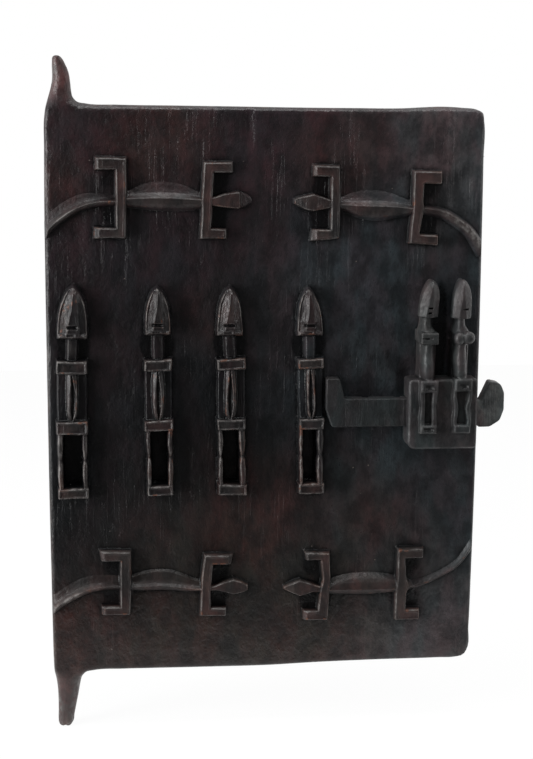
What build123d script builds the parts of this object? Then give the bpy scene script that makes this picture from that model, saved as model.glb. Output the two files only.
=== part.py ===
from build123d import *
import os
from math import atan2, cos, degrees, hypot, sin

os.makedirs("parts", exist_ok=True)

# A carved granary shutter door with a sliding wooden lock, in millimetres.
# The origin is the tip of the bottom pivot, on the hinge axis. +X runs along the door to its
# lock edge, +Y goes into the granary, so the carved face looks to -Y, and +Z is up.

# ---------------------------------------------------------------- driving dimensions
# Plank
plank_width = 448.0
plank_height = 590.0
plank_thickness = 26.0
hinge_inset = 14.0            # from the plank's hinge edge to the hinge axis
plank_corner_radius = 7.0
plank_edge_chamfer = 2.0

# Pivots, carved from the plank
bottom_pivot_length = 62.0
bottom_journal_radius = 7.5
bottom_journal_length = 20.0
bottom_shank_radius = 9.5
bottom_shank_height = 37.0    # from the tip to the shank's middle section
bottom_root_width = 28.0
top_pivot_length = 48.0
top_journal_radius = 4.5
top_journal_length = 10.0
top_shank_width = 17.5
top_shank_depth = 17.0
top_waist_width = 20.0        # a third of the way up from the plank
top_waist_depth = 20.5
top_root_width = 33.0
top_root_offset = 2.5         # the top pivot's root and shank lie this far towards the lock edge
top_shank_offset = 4.0

# Ancestor figures in relief: distance from the hinge axis, and lean towards the lock edge at the feet
figure_places = ((12.2, -1.0), (98.4, 2.0), (171.6, 3.4), (254.6, 4.6))
figure_feet_height = 190.0    # from the plank's bottom edge to the feet
figure_relief = 15.0
head_relief = 17.0
figure_width = 29.0
feet_height = 13.5
leg_height = 55.0
leg_width = 7.0
leg_relief = 12.0
knee_notch = 0.18             # of the leg's width
knee_reach = 0.06             # of the leg's height, to each side of the knee
leg_gap_depth = 5.0           # the ground between the legs is cut this much deeper
hip_height = 14.5
torso_height = 47.0
torso_ridge_width = 12.0
torso_slab_relief = 8.0
shoulder_height = 14.5
neck_height = 22.0
neck_width = 11.5
neck_relief = 9.0
head_height = 53.0
head_width = 29.0
face_recess = 2.5
nose_width = 3.0
rim_width = 3.5
chin_height = 9.0
head_cheek_height = 0.4       # of the head's height, where it is widest
head_chin_width = 0.88        # of the head's width
head_bulge = (0.68, 0.8)      # where the crown's curve passes, as parts of half the width and the height
# Corners of a face's hollow as parts of its half width and height: jaw, cheek, temple and brow
face_corners = ((0.95, 0.0), (1.0, 0.3), (0.55, 0.72))
face_brow_height = 0.9
draft_angle = 8.0             # slope of the carved sides

# Lizards in relief
lizard_relief = 12.0
lizard_bar_width = 10.5
lizard_foot_height = 12.0
lizard_rear_foot = 21.0
lizard_front_foot = 18.0
lizard_body_half = 14.0
lizard_body_end_half = 8.5
lizard_body_straight = 32.0   # the full-width length between the tapering ends
lizard_neck_half = 4.0
lizard_head_half = 9.3
lizard_head_length = 42.0     # from the front legs' bar to the tip
lizard_cheek_place = 0.42     # of the head's length, from the tip
lizard_nose_half = 3.0
lizard_tail_root_half = 6.0
lizard_tail_end_half = 9.0
lizard_tail_overrun = 8.0     # past the plank's edge, where it is trimmed off
lizard_tail_steps = 8

# Each lizard: height of its head's axis and of its tail's root above the plank's bottom edge, span of
# its legs and how far their middle lies above the axis, distance of its rear and front bars from the
# hinge axis, the tail's rise at the plank's edge, and how late it bends
top_left_lizard = dict(
    head=497.0, root=497.0, span=79.0, lift=0.5, rear=62.8, front=149.5, rise=-28.5, bend=2.9)
top_right_lizard = dict(
    head=492.5, root=486.3, span=77.0, lift=1.0, rear=364.6, front=280.0, rise=-31.6, bend=2.0)
bottom_left_lizard = dict(
    head=88.6, root=92.4, span=71.0, lift=3.5, rear=63.2, front=149.3, rise=-21.5, bend=3.1)
bottom_right_lizard = dict(
    head=84.6, root=81.6, span=76.5, lift=4.5, rear=356.6, front=273.6, rise=42.4, bend=2.0)

# Lock case, one carved block with two figures
case_edge_margin = 6.0        # from the case to the plank's lock edge
case_bottom_height = 239.5    # from the plank's bottom edge to the case
case_width = 73.0
case_height = 73.5
case_depth = 28.0
case_chamfer = 3.0
case_figure_relief = 8.0      # hips, legs and feet stand this proud of the case
case_figure_width = 18.0
case_figure_male_inset = 20.4    # from the case's hinge side to the middle of the left figure
case_figure_female_inset = 19.0  # from the case's lock side to the middle of the right figure
case_feet_rise = 20.5         # from the case's bottom to the feet
case_feet_height = 8.0
case_leg_height = 35.0
case_leg_width = 5.5
case_hip_height = 13.5
case_torso_height = 35.0
case_torso_width = 17.0
case_torso_ridge = 8.5
case_torso_depth = 20.0
case_shoulder_height = 12.0
case_neck_height = 17.0
case_neck_width = 9.5
case_neck_depth = 25.0
case_head_height = 38.0
case_head_width = 19.0
case_head_depth = 36.0
case_head_back = 8.0          # from the plank to the back of the head
case_head_draft = 9.0         # the head narrows towards its back
breast_radius = 5.5

# Bolt
bolt_height = 29.5
bolt_thickness = 16.0
bolt_sill = 23.5              # from the case's bottom to the bolt's channel
bolt_travel = 62.0
stop_gap = 2.0                # left between case and hook or knob at the ends of the travel
hook_width = 18.5
hook_tip_width = 12.5
hook_rise = 21.5
hook_heel_chamfer = 6.0
hook_heel_height = 14.0
knob_width = 29.0
knob_rise = 16.0
knob_drop = 2.0
knob_top_radius = 9.0
knob_bottom_radius = 14.0
knob_shoulder = 11.5

# Tumbler pins
pin_width = 6.5
pin_depth = 6.5
pin_length = 62.0
pin_head_width = 10.0
pin_head_height = 12.0
pin_lift = 20.0
pin_engagement = 18.0         # how deep a dropped pin stands in the bolt

# Tenons and wedges behind the plank
tenon_width = 12.0
tenon_height = 12.0
tenon_edge = 3.5              # from a tenon to the case's top or bottom
tenon_tail = 14.0             # how far a tenon stands out behind the plank
wedge_length = 36.0
wedge_thin = 4.0
wedge_thick = 6.0
wedge_height = 5.0

# Clearances
sliding_clearance = 0.8
pin_clearance = 0.5
mortise_clearance = 0.3
wedge_clearance = 0.15
embed = 1.0                   # how far a carved form's solid starts inside its ground

# ---------------------------------------------------------------- derived places
front_y = -plank_thickness / 2
back_y = plank_thickness / 2
plank_left = -hinge_inset
plank_right = plank_left + plank_width
plank_bottom = bottom_pivot_length
plank_top = plank_bottom + plank_height
door_top = plank_top + top_pivot_length

case_right = plank_right - case_edge_margin
case_left = case_right - case_width
case_bottom = plank_bottom + case_bottom_height
case_top = case_bottom + case_height
male_x = case_left + case_figure_male_inset
female_x = case_right - case_figure_female_inset

channel_bottom = case_bottom + bolt_sill
bolt_bottom = channel_bottom + sliding_clearance
bolt_top = bolt_bottom + bolt_height
channel_top = bolt_top + sliding_clearance
bolt_back_y = front_y - sliding_clearance
bolt_front_y = bolt_back_y - bolt_thickness
channel_front_y = bolt_front_y - sliding_clearance
knob_inner = case_right + stop_gap
hook_inner = case_left - bolt_travel - stop_gap

pin_rest = bolt_top + pin_clearance
pin_top = pin_rest + pin_length
groove_depth = pin_depth + 2 * pin_clearance
groove_top = pin_top + pin_lift + pin_clearance
groove_shoulder = pin_top - pin_head_height - pin_engagement - 2 * pin_clearance


# ---------------------------------------------------------------- helpers
def face_plane(proud=0.0):
    """A drawing plane that stands proud of the plank's carved face: x is +X and y is +Z."""
    return Plane(origin=(0, front_y - proud, 0), x_dir=(1, 0, 0), z_dir=(0, -1, 0))


def outline(*points):
    return make_face(Polyline(*points, close=True))


def carved(face, relief, ground=0.0, slope=0.0):
    """A form that rises from its ground by the relief, with sides that may slope in."""
    return extrude(face_plane(ground - embed) * face, amount=relief + embed, taper=slope)


def block(left, right, bottom, top, relief, ground=0.0, slope=0.0):
    return carved(outline((left, bottom), (right, bottom), (right, top), (left, top)), relief, ground, slope)


def box_between(low, high):
    size = [b - a for a, b in zip(low, high)]
    middle = [(a + b) / 2 for a, b in zip(low, high)]
    return Pos(*middle) * Box(*size)


def ridge_strip(sections, relief, ground=0.0):
    """A long roof-shaped form. Each section is (x, z, direction, half width) along its ridge line."""
    faces = []
    for x, z, direction, half in sections:
        across = (-sin(direction), cos(direction))
        a = (x + across[0] * half, z + across[1] * half)
        b = (x - across[0] * half, z - across[1] * half)
        low_y = front_y - ground + embed
        corners = ((a[0], low_y, a[1]), (b[0], low_y, b[1]), (x, front_y - ground - relief, z))
        faces.append(make_face(Polyline(*corners, close=True)))
    return loft(faces, ruled=True)


def head_outline(middle, bottom, width, height):
    """A bullet-shaped face: straight chin, full cheeks and a pointed crown."""
    half = width / 2
    cheek_height = height * head_cheek_height
    chin_half = half * head_chin_width
    left_chin, right_chin = (middle - chin_half, bottom), (middle + chin_half, bottom)
    left_cheek, right_cheek = (middle - half, bottom + cheek_height), (middle + half, bottom + cheek_height)
    crown = (middle, bottom + height)
    bulge = (half * head_bulge[0], bottom + height * head_bulge[1])
    edges = Line(left_chin, right_chin)
    edges += Line(right_chin, right_cheek)
    edges += ThreePointArc(right_cheek, (middle + bulge[0], bulge[1]), crown)
    edges += ThreePointArc(crown, (middle - bulge[0], bulge[1]), left_cheek)
    edges += Line(left_cheek, left_chin)
    return make_face(edges)


def face_facet(middle, bottom, width, height, side):
    """One hollow beside the nose, between the rim and the chin."""
    outer = width / 2 - rim_width
    nose = nose_width / 2
    corners = [(middle + side * outer * across, bottom + height * up) for across, up in face_corners]
    return outline(
        (middle + side * nose, bottom), *corners, (middle + side * nose, bottom + height * face_brow_height))


# ---------------------------------------------------------------- carved forms of the plank
def leg(left, bottom, height, width, relief, ground=0.0):
    """A bent leg: thigh and calf swell, and the knee is notched."""
    knee = bottom + height / 2
    reach = height * knee_reach
    notch = width * knee_notch
    points = (
        (left, bottom), (left + width, bottom),
        (left + width, knee - reach), (left + width - notch, knee),
        (left + width, knee + reach), (left + width, bottom + height),
        (left, bottom + height), (left, knee + reach),
        (left + notch, knee), (left, knee - reach),
    )
    return carved(outline(*points), relief, ground)


def ancestor_figure(middle):
    """One standing figure, upright on x = middle, with its feet on the figures' common line."""
    half = figure_width / 2
    feet = plank_bottom + figure_feet_height
    legs = feet + feet_height
    hips = legs + leg_height
    torso = hips + hip_height
    shoulders = torso + torso_height
    neck = shoulders + shoulder_height
    chin = neck + neck_height
    ridge = torso_ridge_width / 2
    forms = [
        block(middle - half, middle + half, feet, legs, figure_relief, slope=draft_angle),
        leg(middle - half, legs - embed, leg_height + 2 * embed, leg_width, leg_relief),
        leg(middle + half - leg_width, legs - embed, leg_height + 2 * embed, leg_width, leg_relief),
        block(middle - half, middle + half, hips, torso, figure_relief, slope=draft_angle),
        block(middle - half, middle + half, torso - embed, shoulders + embed, torso_slab_relief),
        block(middle - ridge, middle + ridge, torso - embed, shoulders + embed, figure_relief - embed),
        block(middle - half, middle + half, shoulders, neck, figure_relief, slope=draft_angle),
        block(middle - neck_width / 2, middle + neck_width / 2, neck - embed, chin + embed, neck_relief),
        carved(head_outline(middle, chin, head_width, head_height), head_relief, slope=draft_angle),
    ]
    figure = forms[0].fuse(*forms[1:])
    facet_height = head_height - chin_height - rim_width
    for side in (-1, 1):
        facet = face_facet(middle, chin + chin_height, head_width, facet_height, side)
        figure -= extrude(face_plane(head_relief + embed) * facet, amount=-(face_recess + embed))
    return figure


def leg_gap(middle):
    """The deep cut in the plank between a figure's legs."""
    half = figure_width / 2 - leg_width
    low = plank_bottom + figure_feet_height + feet_height
    return box_between(
        (middle - half, front_y - embed, low + embed),
        (middle + half, front_y + leg_gap_depth, low + leg_height - embed))


def leaning(form, middle, lean):
    """Turns a figure's form about its crown, so that its feet lie off to the side by the lean."""
    figure_height = feet_height + leg_height + hip_height + torso_height
    figure_height += shoulder_height + neck_height + head_height
    crown = plank_bottom + figure_feet_height + figure_height
    axis = Axis((middle, front_y, crown), (0, 1, 0))
    return form.rotate(axis, -degrees(atan2(lean, figure_height)))


def lizard(shape, tail_edge):
    """A lizard across the plank, with its tail run out to the plank's edge at tail_edge."""
    towards = 1 if tail_edge > shape["rear"] else -1     # from the head to the tail
    rear, front = shape["rear"], shape["front"]
    head_z = plank_bottom + shape["head"]
    root_z = plank_bottom + shape["root"]
    half_bar = lizard_bar_width / 2
    half_span = shape["span"] / 2
    forms = []

    legs = ((rear, lizard_rear_foot, towards, root_z), (front, lizard_front_foot, -towards, head_z))
    for bar, foot, out, z in legs:
        inner, edge = bar - out * half_bar, bar + out * half_bar
        toe = edge + out * foot
        top, bottom = z + shape["lift"] + half_span, z + shape["lift"] - half_span
        bracket = outline(
            (inner, bottom), (toe, bottom), (toe, bottom + lizard_foot_height),
            (edge, bottom + lizard_foot_height), (edge, top - lizard_foot_height),
            (toe, top - lizard_foot_height), (toe, top), (inner, top),
        )
        forms.append(carved(bracket, lizard_relief))

    slope = atan2(root_z - head_z, rear - front)
    middle = (rear + front) / 2
    straight = towards * lizard_body_straight / 2
    body = [
        (front - towards * half_bar / 2, head_z, slope, lizard_body_end_half),
        (middle - straight, (head_z + root_z) / 2, slope, lizard_body_half),
        (middle + straight, (head_z + root_z) / 2, slope, lizard_body_half),
        (rear + towards * half_bar / 2, root_z, slope, lizard_body_end_half),
    ]
    forms.append(ridge_strip(body, lizard_relief - embed / 2))

    neck = front - towards * half_bar / 2
    tip = front - towards * (half_bar + lizard_head_length)
    cheek = tip + towards * lizard_head_length * lizard_cheek_place
    forms.append(carved(outline(
        (neck, head_z - lizard_neck_half), (neck, head_z + lizard_neck_half),
        (cheek, head_z + lizard_head_half), (tip, head_z + lizard_nose_half),
        (tip, head_z - lizard_nose_half), (cheek, head_z - lizard_head_half),
    ), lizard_relief - embed, slope=draft_angle))

    start = rear + towards * half_bar / 2
    length = tail_edge + towards * lizard_tail_overrun - start
    tail = []
    for step in range(lizard_tail_steps + 1):
        along = step / lizard_tail_steps
        reach = along * length / (tail_edge - start)
        z = root_z + shape["rise"] * reach ** shape["bend"]
        steepness = shape["bend"] * shape["rise"] * reach ** (shape["bend"] - 1) / (tail_edge - start)
        half = lizard_tail_root_half + (lizard_tail_end_half - lizard_tail_root_half) * along
        tail.append((start + along * length, z, atan2(steepness, 1), half))
    forms.append(ridge_strip(tail, lizard_relief - embed))
    return forms[0].fuse(*forms[1:])


# ---------------------------------------------------------------- the plank
def pivot_section(middle, width, depth, z):
    return Pos(middle, 0, z) * Ellipse(width / 2, depth / 2)


def bottom_pivot():
    journal = Pos(0, 0, bottom_journal_length / 2) * Cylinder(bottom_journal_radius, bottom_journal_length)
    shank = loft([
        pivot_section(0, 2 * bottom_journal_radius, 2 * bottom_journal_radius, bottom_journal_length),
        pivot_section(0, 2 * bottom_shank_radius, 2 * bottom_shank_radius, bottom_shank_height),
        pivot_section(0, bottom_root_width, plank_thickness, plank_bottom + embed),
    ], ruled=True)
    return journal + shank


def top_pivot():
    journal_bottom = door_top - top_journal_length
    shank_rise = (journal_bottom - plank_top) / 3
    journal = Pos(0, 0, door_top - top_journal_length / 2) * Cylinder(top_journal_radius, top_journal_length)
    shank = loft([
        pivot_section(top_root_offset, top_root_width, plank_thickness, plank_top - embed),
        pivot_section(top_shank_offset, top_waist_width, top_waist_depth, plank_top + shank_rise),
        pivot_section(top_shank_offset, top_shank_width, top_shank_depth, plank_top + 2 * shank_rise),
        pivot_section(0, 2 * top_journal_radius, 2 * top_journal_radius, journal_bottom),
    ], ruled=True)
    return journal + shank


def tenon_boxes(clearance, y_low, y_high):
    """The two tenons of the lock case, or their mortises: below and above the bolt's channel."""
    middle = (male_x + female_x) / 2
    boxes = []
    for low in (case_bottom + tenon_edge, case_top - tenon_edge - tenon_height):
        boxes.append(box_between(
            (middle - tenon_width / 2 - clearance, y_low, low - clearance),
            (middle + tenon_width / 2 + clearance, y_high, low + tenon_height + clearance),
        ))
    return boxes


def trim_box():
    """Keeps the carved forms within the plank's edges."""
    beyond = case_depth + case_figure_relief
    return box_between((plank_left, front_y - beyond, plank_bottom), (plank_right, back_y, plank_top))


def make_plank():
    sheet = Pos((plank_left + plank_right) / 2, (plank_bottom + plank_top) / 2) * RectangleRounded(
        plank_width, plank_height, plank_corner_radius)
    slab = extrude(face_plane() * sheet, amount=-plank_thickness)
    slab = chamfer(slab.faces().sort_by(Axis.Y)[0].edges(), plank_edge_chamfer)
    slab = chamfer(slab.faces().sort_by(Axis.Y)[-1].edges(), plank_edge_chamfer)
    forms = [leaning(ancestor_figure(middle), middle, lean) for middle, lean in figure_places]
    for shape, edge in (
        (top_left_lizard, plank_left), (top_right_lizard, plank_right),
        (bottom_left_lizard, plank_left), (bottom_right_lizard, plank_right),
    ):
        forms.append(lizard(shape, edge))
    within = trim_box()
    plank = slab
    for form in forms:
        plank += form & within
    plank = plank + bottom_pivot() + top_pivot()
    for middle, lean in figure_places:
        plank -= leaning(leg_gap(middle), middle, lean)
    for mortise in tenon_boxes(mortise_clearance, front_y - embed, back_y + embed):
        plank -= mortise
    return plank


# ---------------------------------------------------------------- the lock case
def case_figure(middle):
    """A standing figure: hips, legs and feet on the case's face, head and body above the case."""
    half = case_figure_width / 2
    total = case_depth + case_figure_relief
    feet = case_bottom + case_feet_rise
    legs = feet + case_feet_height
    hips = legs + case_leg_height
    torso = hips + case_hip_height
    shoulders = torso + case_torso_height
    neck = shoulders + case_shoulder_height
    chin = neck + case_neck_height
    ground = case_depth
    torso_half = case_torso_width / 2
    ridge = case_torso_ridge / 2

    def standing(left, right, bottom, top, depth, slope=0.0):
        face = outline((left, bottom), (right, bottom), (right, top), (left, top))
        return extrude(face_plane() * face, amount=depth, taper=slope)

    forms = [
        block(middle - half, middle + half, feet, legs, case_figure_relief, ground, draft_angle),
        leg(middle - half, legs - embed, case_leg_height + 2 * embed, case_leg_width,
            case_figure_relief - embed, ground),
        leg(middle + half - case_leg_width, legs - embed, case_leg_height + 2 * embed, case_leg_width,
            case_figure_relief - embed, ground),
        block(middle - half, middle + half, hips, torso, case_figure_relief, ground, draft_angle),
        standing(middle - torso_half, middle + torso_half, case_top - case_chamfer - embed, shoulders + embed,
                 case_torso_depth),
        standing(middle - ridge, middle + ridge, torso - embed, shoulders + embed, total - 2 * embed),
        standing(middle - half, middle + half, shoulders, neck, total, draft_angle / 4),
        standing(middle - case_neck_width / 2, middle + case_neck_width / 2, neck - embed, chin + embed,
                 case_neck_depth),
        extrude(face_plane(case_head_depth) * head_outline(middle, chin, case_head_width, case_head_height),
                amount=case_head_back - case_head_depth, taper=case_head_draft),
        standing(middle - case_neck_width / 2, middle + case_neck_width / 2, chin - embed,
                 chin + case_head_height / 2, case_head_depth - case_head_back),
    ]
    return forms[0].fuse(*forms[1:])


def pin_groove(middle):
    """The groove in the case's back that a tumbler pin slides in, wide above its shoulder."""
    half = pin_width / 2 + pin_clearance
    half_head = pin_head_width / 2 + pin_clearance
    low_y, high_y = front_y - groove_depth, front_y + embed
    shank = box_between((middle - half, low_y, channel_top - embed), (middle + half, high_y, groove_top))
    head = box_between((middle - half_head, low_y, groove_shoulder), (middle + half_head, high_y, groove_top))
    return shank + head


def make_case():
    shell = box_between((case_left, front_y - case_depth, case_bottom), (case_right, front_y, case_top))
    front_edges = shell.faces().sort_by(Axis.Y)[0].edges()
    shell = chamfer(front_edges, case_chamfer)
    case = shell.fuse(case_figure(male_x), case_figure(female_x))
    breast_z = case_top + case_torso_height + case_shoulder_height / 2 + (
        case_feet_rise + case_feet_height + case_leg_height + case_hip_height - case_height)
    chest_y = front_y - case_depth - case_figure_relief
    for side in (-1, 1):
        centre = (female_x + side * (breast_radius + embed), chest_y, breast_z)
        case += Pos(*centre) * Sphere(breast_radius)
    case -= box_between(
        (case_left - embed, channel_front_y, channel_bottom),
        (case_right + embed, front_y + embed, channel_top))
    for middle in (male_x, female_x):
        case -= pin_groove(middle)
    for tenon in tenon_boxes(0.0, front_y - embed, back_y + tenon_tail):
        case += tenon
    for slot in wedge_solids(wedge_clearance):
        case -= slot
    return case


# ---------------------------------------------------------------- bolt, pins and wedges
def make_bolt():
    knob_outer = knob_inner + knob_width
    knob_top = bolt_top + knob_rise
    knob_bottom = bolt_bottom - knob_drop
    hook_outer = hook_inner - hook_width
    hook_top = bolt_top + hook_rise
    hook_taper = (hook_width - hook_tip_width) / 3
    profile = Polyline(
        (hook_outer + hook_heel_chamfer, bolt_bottom), (knob_inner, bolt_bottom),
        (knob_inner + knob_drop, knob_bottom), (knob_outer, knob_bottom),
        (knob_outer, knob_top), (knob_inner + knob_shoulder, knob_top),
        (knob_inner, bolt_top), (hook_inner, bolt_top),
        (hook_inner - 2 * hook_taper, hook_top), (hook_outer + hook_taper, hook_top),
        (hook_outer, bolt_top), (hook_outer, bolt_bottom + hook_heel_height), close=True)
    face = make_face(profile)
    for corner_z, radius in ((knob_top, knob_top_radius), (knob_bottom, knob_bottom_radius)):
        corner = min(face.vertices(), key=lambda v: hypot(v.X - knob_outer, v.Y - corner_z))
        face = fillet(corner, radius)
    plane = face_plane(sliding_clearance)
    bolt = extrude(plane * face, amount=bolt_thickness)
    pocket_depth = pin_engagement + pin_clearance
    for middle in (male_x - bolt_travel, female_x - bolt_travel):
        half = pin_width / 2 + pin_clearance
        bolt -= box_between(
            (middle - half, front_y - groove_depth, bolt_top - pocket_depth),
            (middle + half, front_y + embed, bolt_top + embed))
    return bolt


def make_pin(middle):
    back = front_y - pin_clearance
    shank = box_between(
        (middle - pin_width / 2, back - pin_depth, pin_rest), (middle + pin_width / 2, back, pin_top))
    head = box_between(
        (middle - pin_head_width / 2, back - pin_depth, pin_top - pin_head_height),
        (middle + pin_head_width / 2, back, pin_top))
    return shank + head


def wedge_solids(clearance):
    """The tapered wedges that lock the tenons behind the plank, or the slots that they go through."""
    middle = (male_x + female_x) / 2
    half = wedge_length / 2 + clearance
    wedges = []
    for low in (case_bottom + tenon_edge, case_top - tenon_edge - tenon_height):
        z = low + tenon_height / 2
        plan = Polyline(
            (middle - half, back_y), (middle + half, back_y),
            (middle + half, back_y + wedge_thick + clearance),
            (middle - half, back_y + wedge_thin + clearance), close=True)
        base = Pos(0, 0, z - wedge_height / 2 - clearance) * make_face(plan)
        wedges.append(extrude(base, amount=wedge_height + 2 * clearance, dir=(0, 0, 1)))
    return wedges


lower_wedge, upper_wedge = wedge_solids(0.0)
pieces = {
    "door_plank": make_plank(),
    "lock_case": make_case(),
    "lock_bolt": make_bolt(),
    "tumbler_pin_left": make_pin(male_x),
    "tumbler_pin_right": make_pin(female_x),
    "case_wedge_lower": lower_wedge,
    "case_wedge_upper": upper_wedge,
}
for name, piece in pieces.items():
    export_step(piece, f"parts/{name}.step")
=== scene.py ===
from contextlib import contextmanager

import bmesh
import bpy
import numpy as np
from mathutils import Matrix, Vector
from mathutils.geometry import delaunay_2d_cdt


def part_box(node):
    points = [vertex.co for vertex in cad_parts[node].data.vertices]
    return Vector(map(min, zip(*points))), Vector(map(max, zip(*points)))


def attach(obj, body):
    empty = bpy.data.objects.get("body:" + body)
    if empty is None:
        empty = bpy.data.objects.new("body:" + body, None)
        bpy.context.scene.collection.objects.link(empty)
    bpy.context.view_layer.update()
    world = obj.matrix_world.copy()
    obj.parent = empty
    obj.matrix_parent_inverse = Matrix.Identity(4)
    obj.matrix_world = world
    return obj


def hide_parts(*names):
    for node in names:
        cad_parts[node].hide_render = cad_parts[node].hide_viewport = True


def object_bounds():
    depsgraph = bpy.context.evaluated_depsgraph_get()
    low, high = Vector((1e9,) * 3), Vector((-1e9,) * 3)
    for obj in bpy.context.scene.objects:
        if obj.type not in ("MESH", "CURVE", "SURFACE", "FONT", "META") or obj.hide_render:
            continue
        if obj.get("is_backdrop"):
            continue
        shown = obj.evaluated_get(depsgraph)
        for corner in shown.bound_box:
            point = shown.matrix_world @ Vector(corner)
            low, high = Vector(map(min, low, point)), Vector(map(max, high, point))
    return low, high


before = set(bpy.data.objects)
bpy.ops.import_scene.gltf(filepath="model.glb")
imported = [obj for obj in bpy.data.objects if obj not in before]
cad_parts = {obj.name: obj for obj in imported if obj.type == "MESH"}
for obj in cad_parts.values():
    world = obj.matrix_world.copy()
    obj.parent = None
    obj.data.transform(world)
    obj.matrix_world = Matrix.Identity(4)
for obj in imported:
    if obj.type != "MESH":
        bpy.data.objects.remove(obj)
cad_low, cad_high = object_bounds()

# All sizes are in millimetres until a mesh is made. +X runs to the lock edge, the carved face
# looks to -Y, and +Z is up.
METRES = 0.001

# ---- the plank
FACE_Y = -13.0                # the carved face's ground
HALF_THICKNESS = 13.0
MIDDLE_X = 210.0
EDGE_ROUND = 4.5
EDGE_LANES = 5                # strips of mesh between the face's border and the back's
EDGE_RUBBED = 0.25
GROUND_STEP = 2.3             # mesh spacing on the carved face
BACK_STEP = 3.6
OUTLINE_STEP = 1.6
STEP_JITTER = 0.22            # how uneven the spacing is, as a share of it
FRONT_RINGS = (0.35, 0.9, 1.7, 2.8, 4.2)    # rings of points inside the border
BACK_RINGS = (0.9, 2.8)
NO_EDGE_WITHIN = (30, 415, 90, 630)    # left, right, bottom, top
FAR_INSIDE = 99.0             # stands for the edge's distance where it doesn't matter
HINGE_SIDE = 60               # up to this x the rubbed band is wider and lighter, a painted highlight on the rounded edge

# The plank's outline with its two pivots, from the bottom pivot's tip and counter-clockwise
OUTLINE = (
    (-7.4, 0.9), (-4.2, 0.2), (-1.6, 1.2), (0.6, 0.1), (3.4, 0.3), (6, 2.6), (8, 12), (10, 22),
    (12.2, 33), (14.2, 44), (16.6, 54), (20.5, 59.8), (29, 62), (60, 62.7), (90, 62.4),
    (150, 61.7), (220, 61.5), (262, 63.1), (330, 64.1), (400, 64.2), (420, 64.5), (428.4, 66.8),
    (431.9, 72.5), (433.2, 100), (434, 160), (434.7, 250), (434.9, 340), (434.7, 430),
    (434.1, 520), (433.3, 600), (432.8, 638), (431, 646.6), (425, 649.8), (410, 651.6),
    (390, 652.6), (372, 651.9), (355, 650.9), (300, 650.6), (240, 650.8), (180, 651.4),
    (120, 651.9), (60, 652.4), (29, 653.4), (20, 655.4), (16, 660), (14.8, 666), (14, 674),
    (12.4, 684), (9.6, 691), (6.6, 696.6), (3.8, 699.4), (0.6, 699.9), (-2.4, 699), (-3.6, 693),
    (-3.6, 684), (-3.7, 677), (-5.4, 668), (-7.7, 660), (-10.4, 650), (-11.9, 640), (-12.6, 610),
    (-13.4, 560), (-13.9, 480), (-14, 400), (-14, 320), (-13.9, 240), (-13.5, 170), (-13.1, 110),
    (-12.7, 76), (-12, 62), (-10.6, 53), (-9.4, 44), (-8.8, 30), (-8.8, 18), (-9, 7), (-8.6, 2.6),
)
LEFTMOST = -13.98
# Height, left edge, right edge and half depth of the pivots
BOTTOM_PIVOT = (
    (0, -8.6, 5.6, 6.9), (12, -8.9, 8, 7.6), (22, -8.8, 10, 8.2), (33, -8.8, 12.2, 9.4),
    (44, -9.4, 14.2, 10.8), (54, -10.8, 16.6, 12.2), (64, -12.2, 24, 13),
)
TOP_PIVOT = (
    (648, -10.8, 24, 13), (656, -8.8, 19, 11.4), (665, -5.7, 14.9, 9.6), (677, -3, 13.6, 8.2),
    (684, -3.6, 12.4, 7.2), (692, -3.6, 9, 5.8), (700, -2.6, 3.8, 4.6),
)
PIVOT_BLEND = (50, 66, 646, 662)       # heights where a pivot's round section takes over
PLANK_LEFT = sorted((z, x) for x, z in OUTLINE if x < -9 and 64 < z < 651)
PLANK_RIGHT = sorted((z, x) for x, z in OUTLINE if x > 428 and 66 < z < 648)

# Waves of the carved ground and of the back: height, size across, size up, seed of the noise
GROUND_WAVES = ((0.26, 15, 90, 1), (0.30, 60, 120, 2), (0.10, 6, 55, 3))
BACK_WAVES = ((0.6, 45, 110, 44), (0.12, 8, 30, 45))
ADZE_WIDTH, ADZE_ROW = 19, 34          # the back's adze marks
# Gouges left on the carved ground: x, top, bottom, half width, depth
GOUGES = (
    (192, 656, 607, 5.2, 1.5), (30, 656, 622, 2.4, 0.4), (359, 656, 600, 1.8, 0.4),
    (378, 632, 600, 3, 0.35), (396, 640, 606, 2.2, 0.4), (20, 560, 470, 7, 0.35),
    (64, 505, 478, 3.5, 0.3), (140, 512, 484, 4, 0.3), (52, 470, 380, 6, 0.3),
    (210, 470, 400, 8, 0.3), (330, 505, 430, 9, 0.35), (300, 260, 190, 8, 0.3),
    (120, 240, 205, 7, 0.3), (400, 280, 215, 8, 0.35), (60, 110, 70, 9, 0.3),
    (200, 104, 72, 12, 0.3), (330, 104, 74, 11, 0.3),
)

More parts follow.
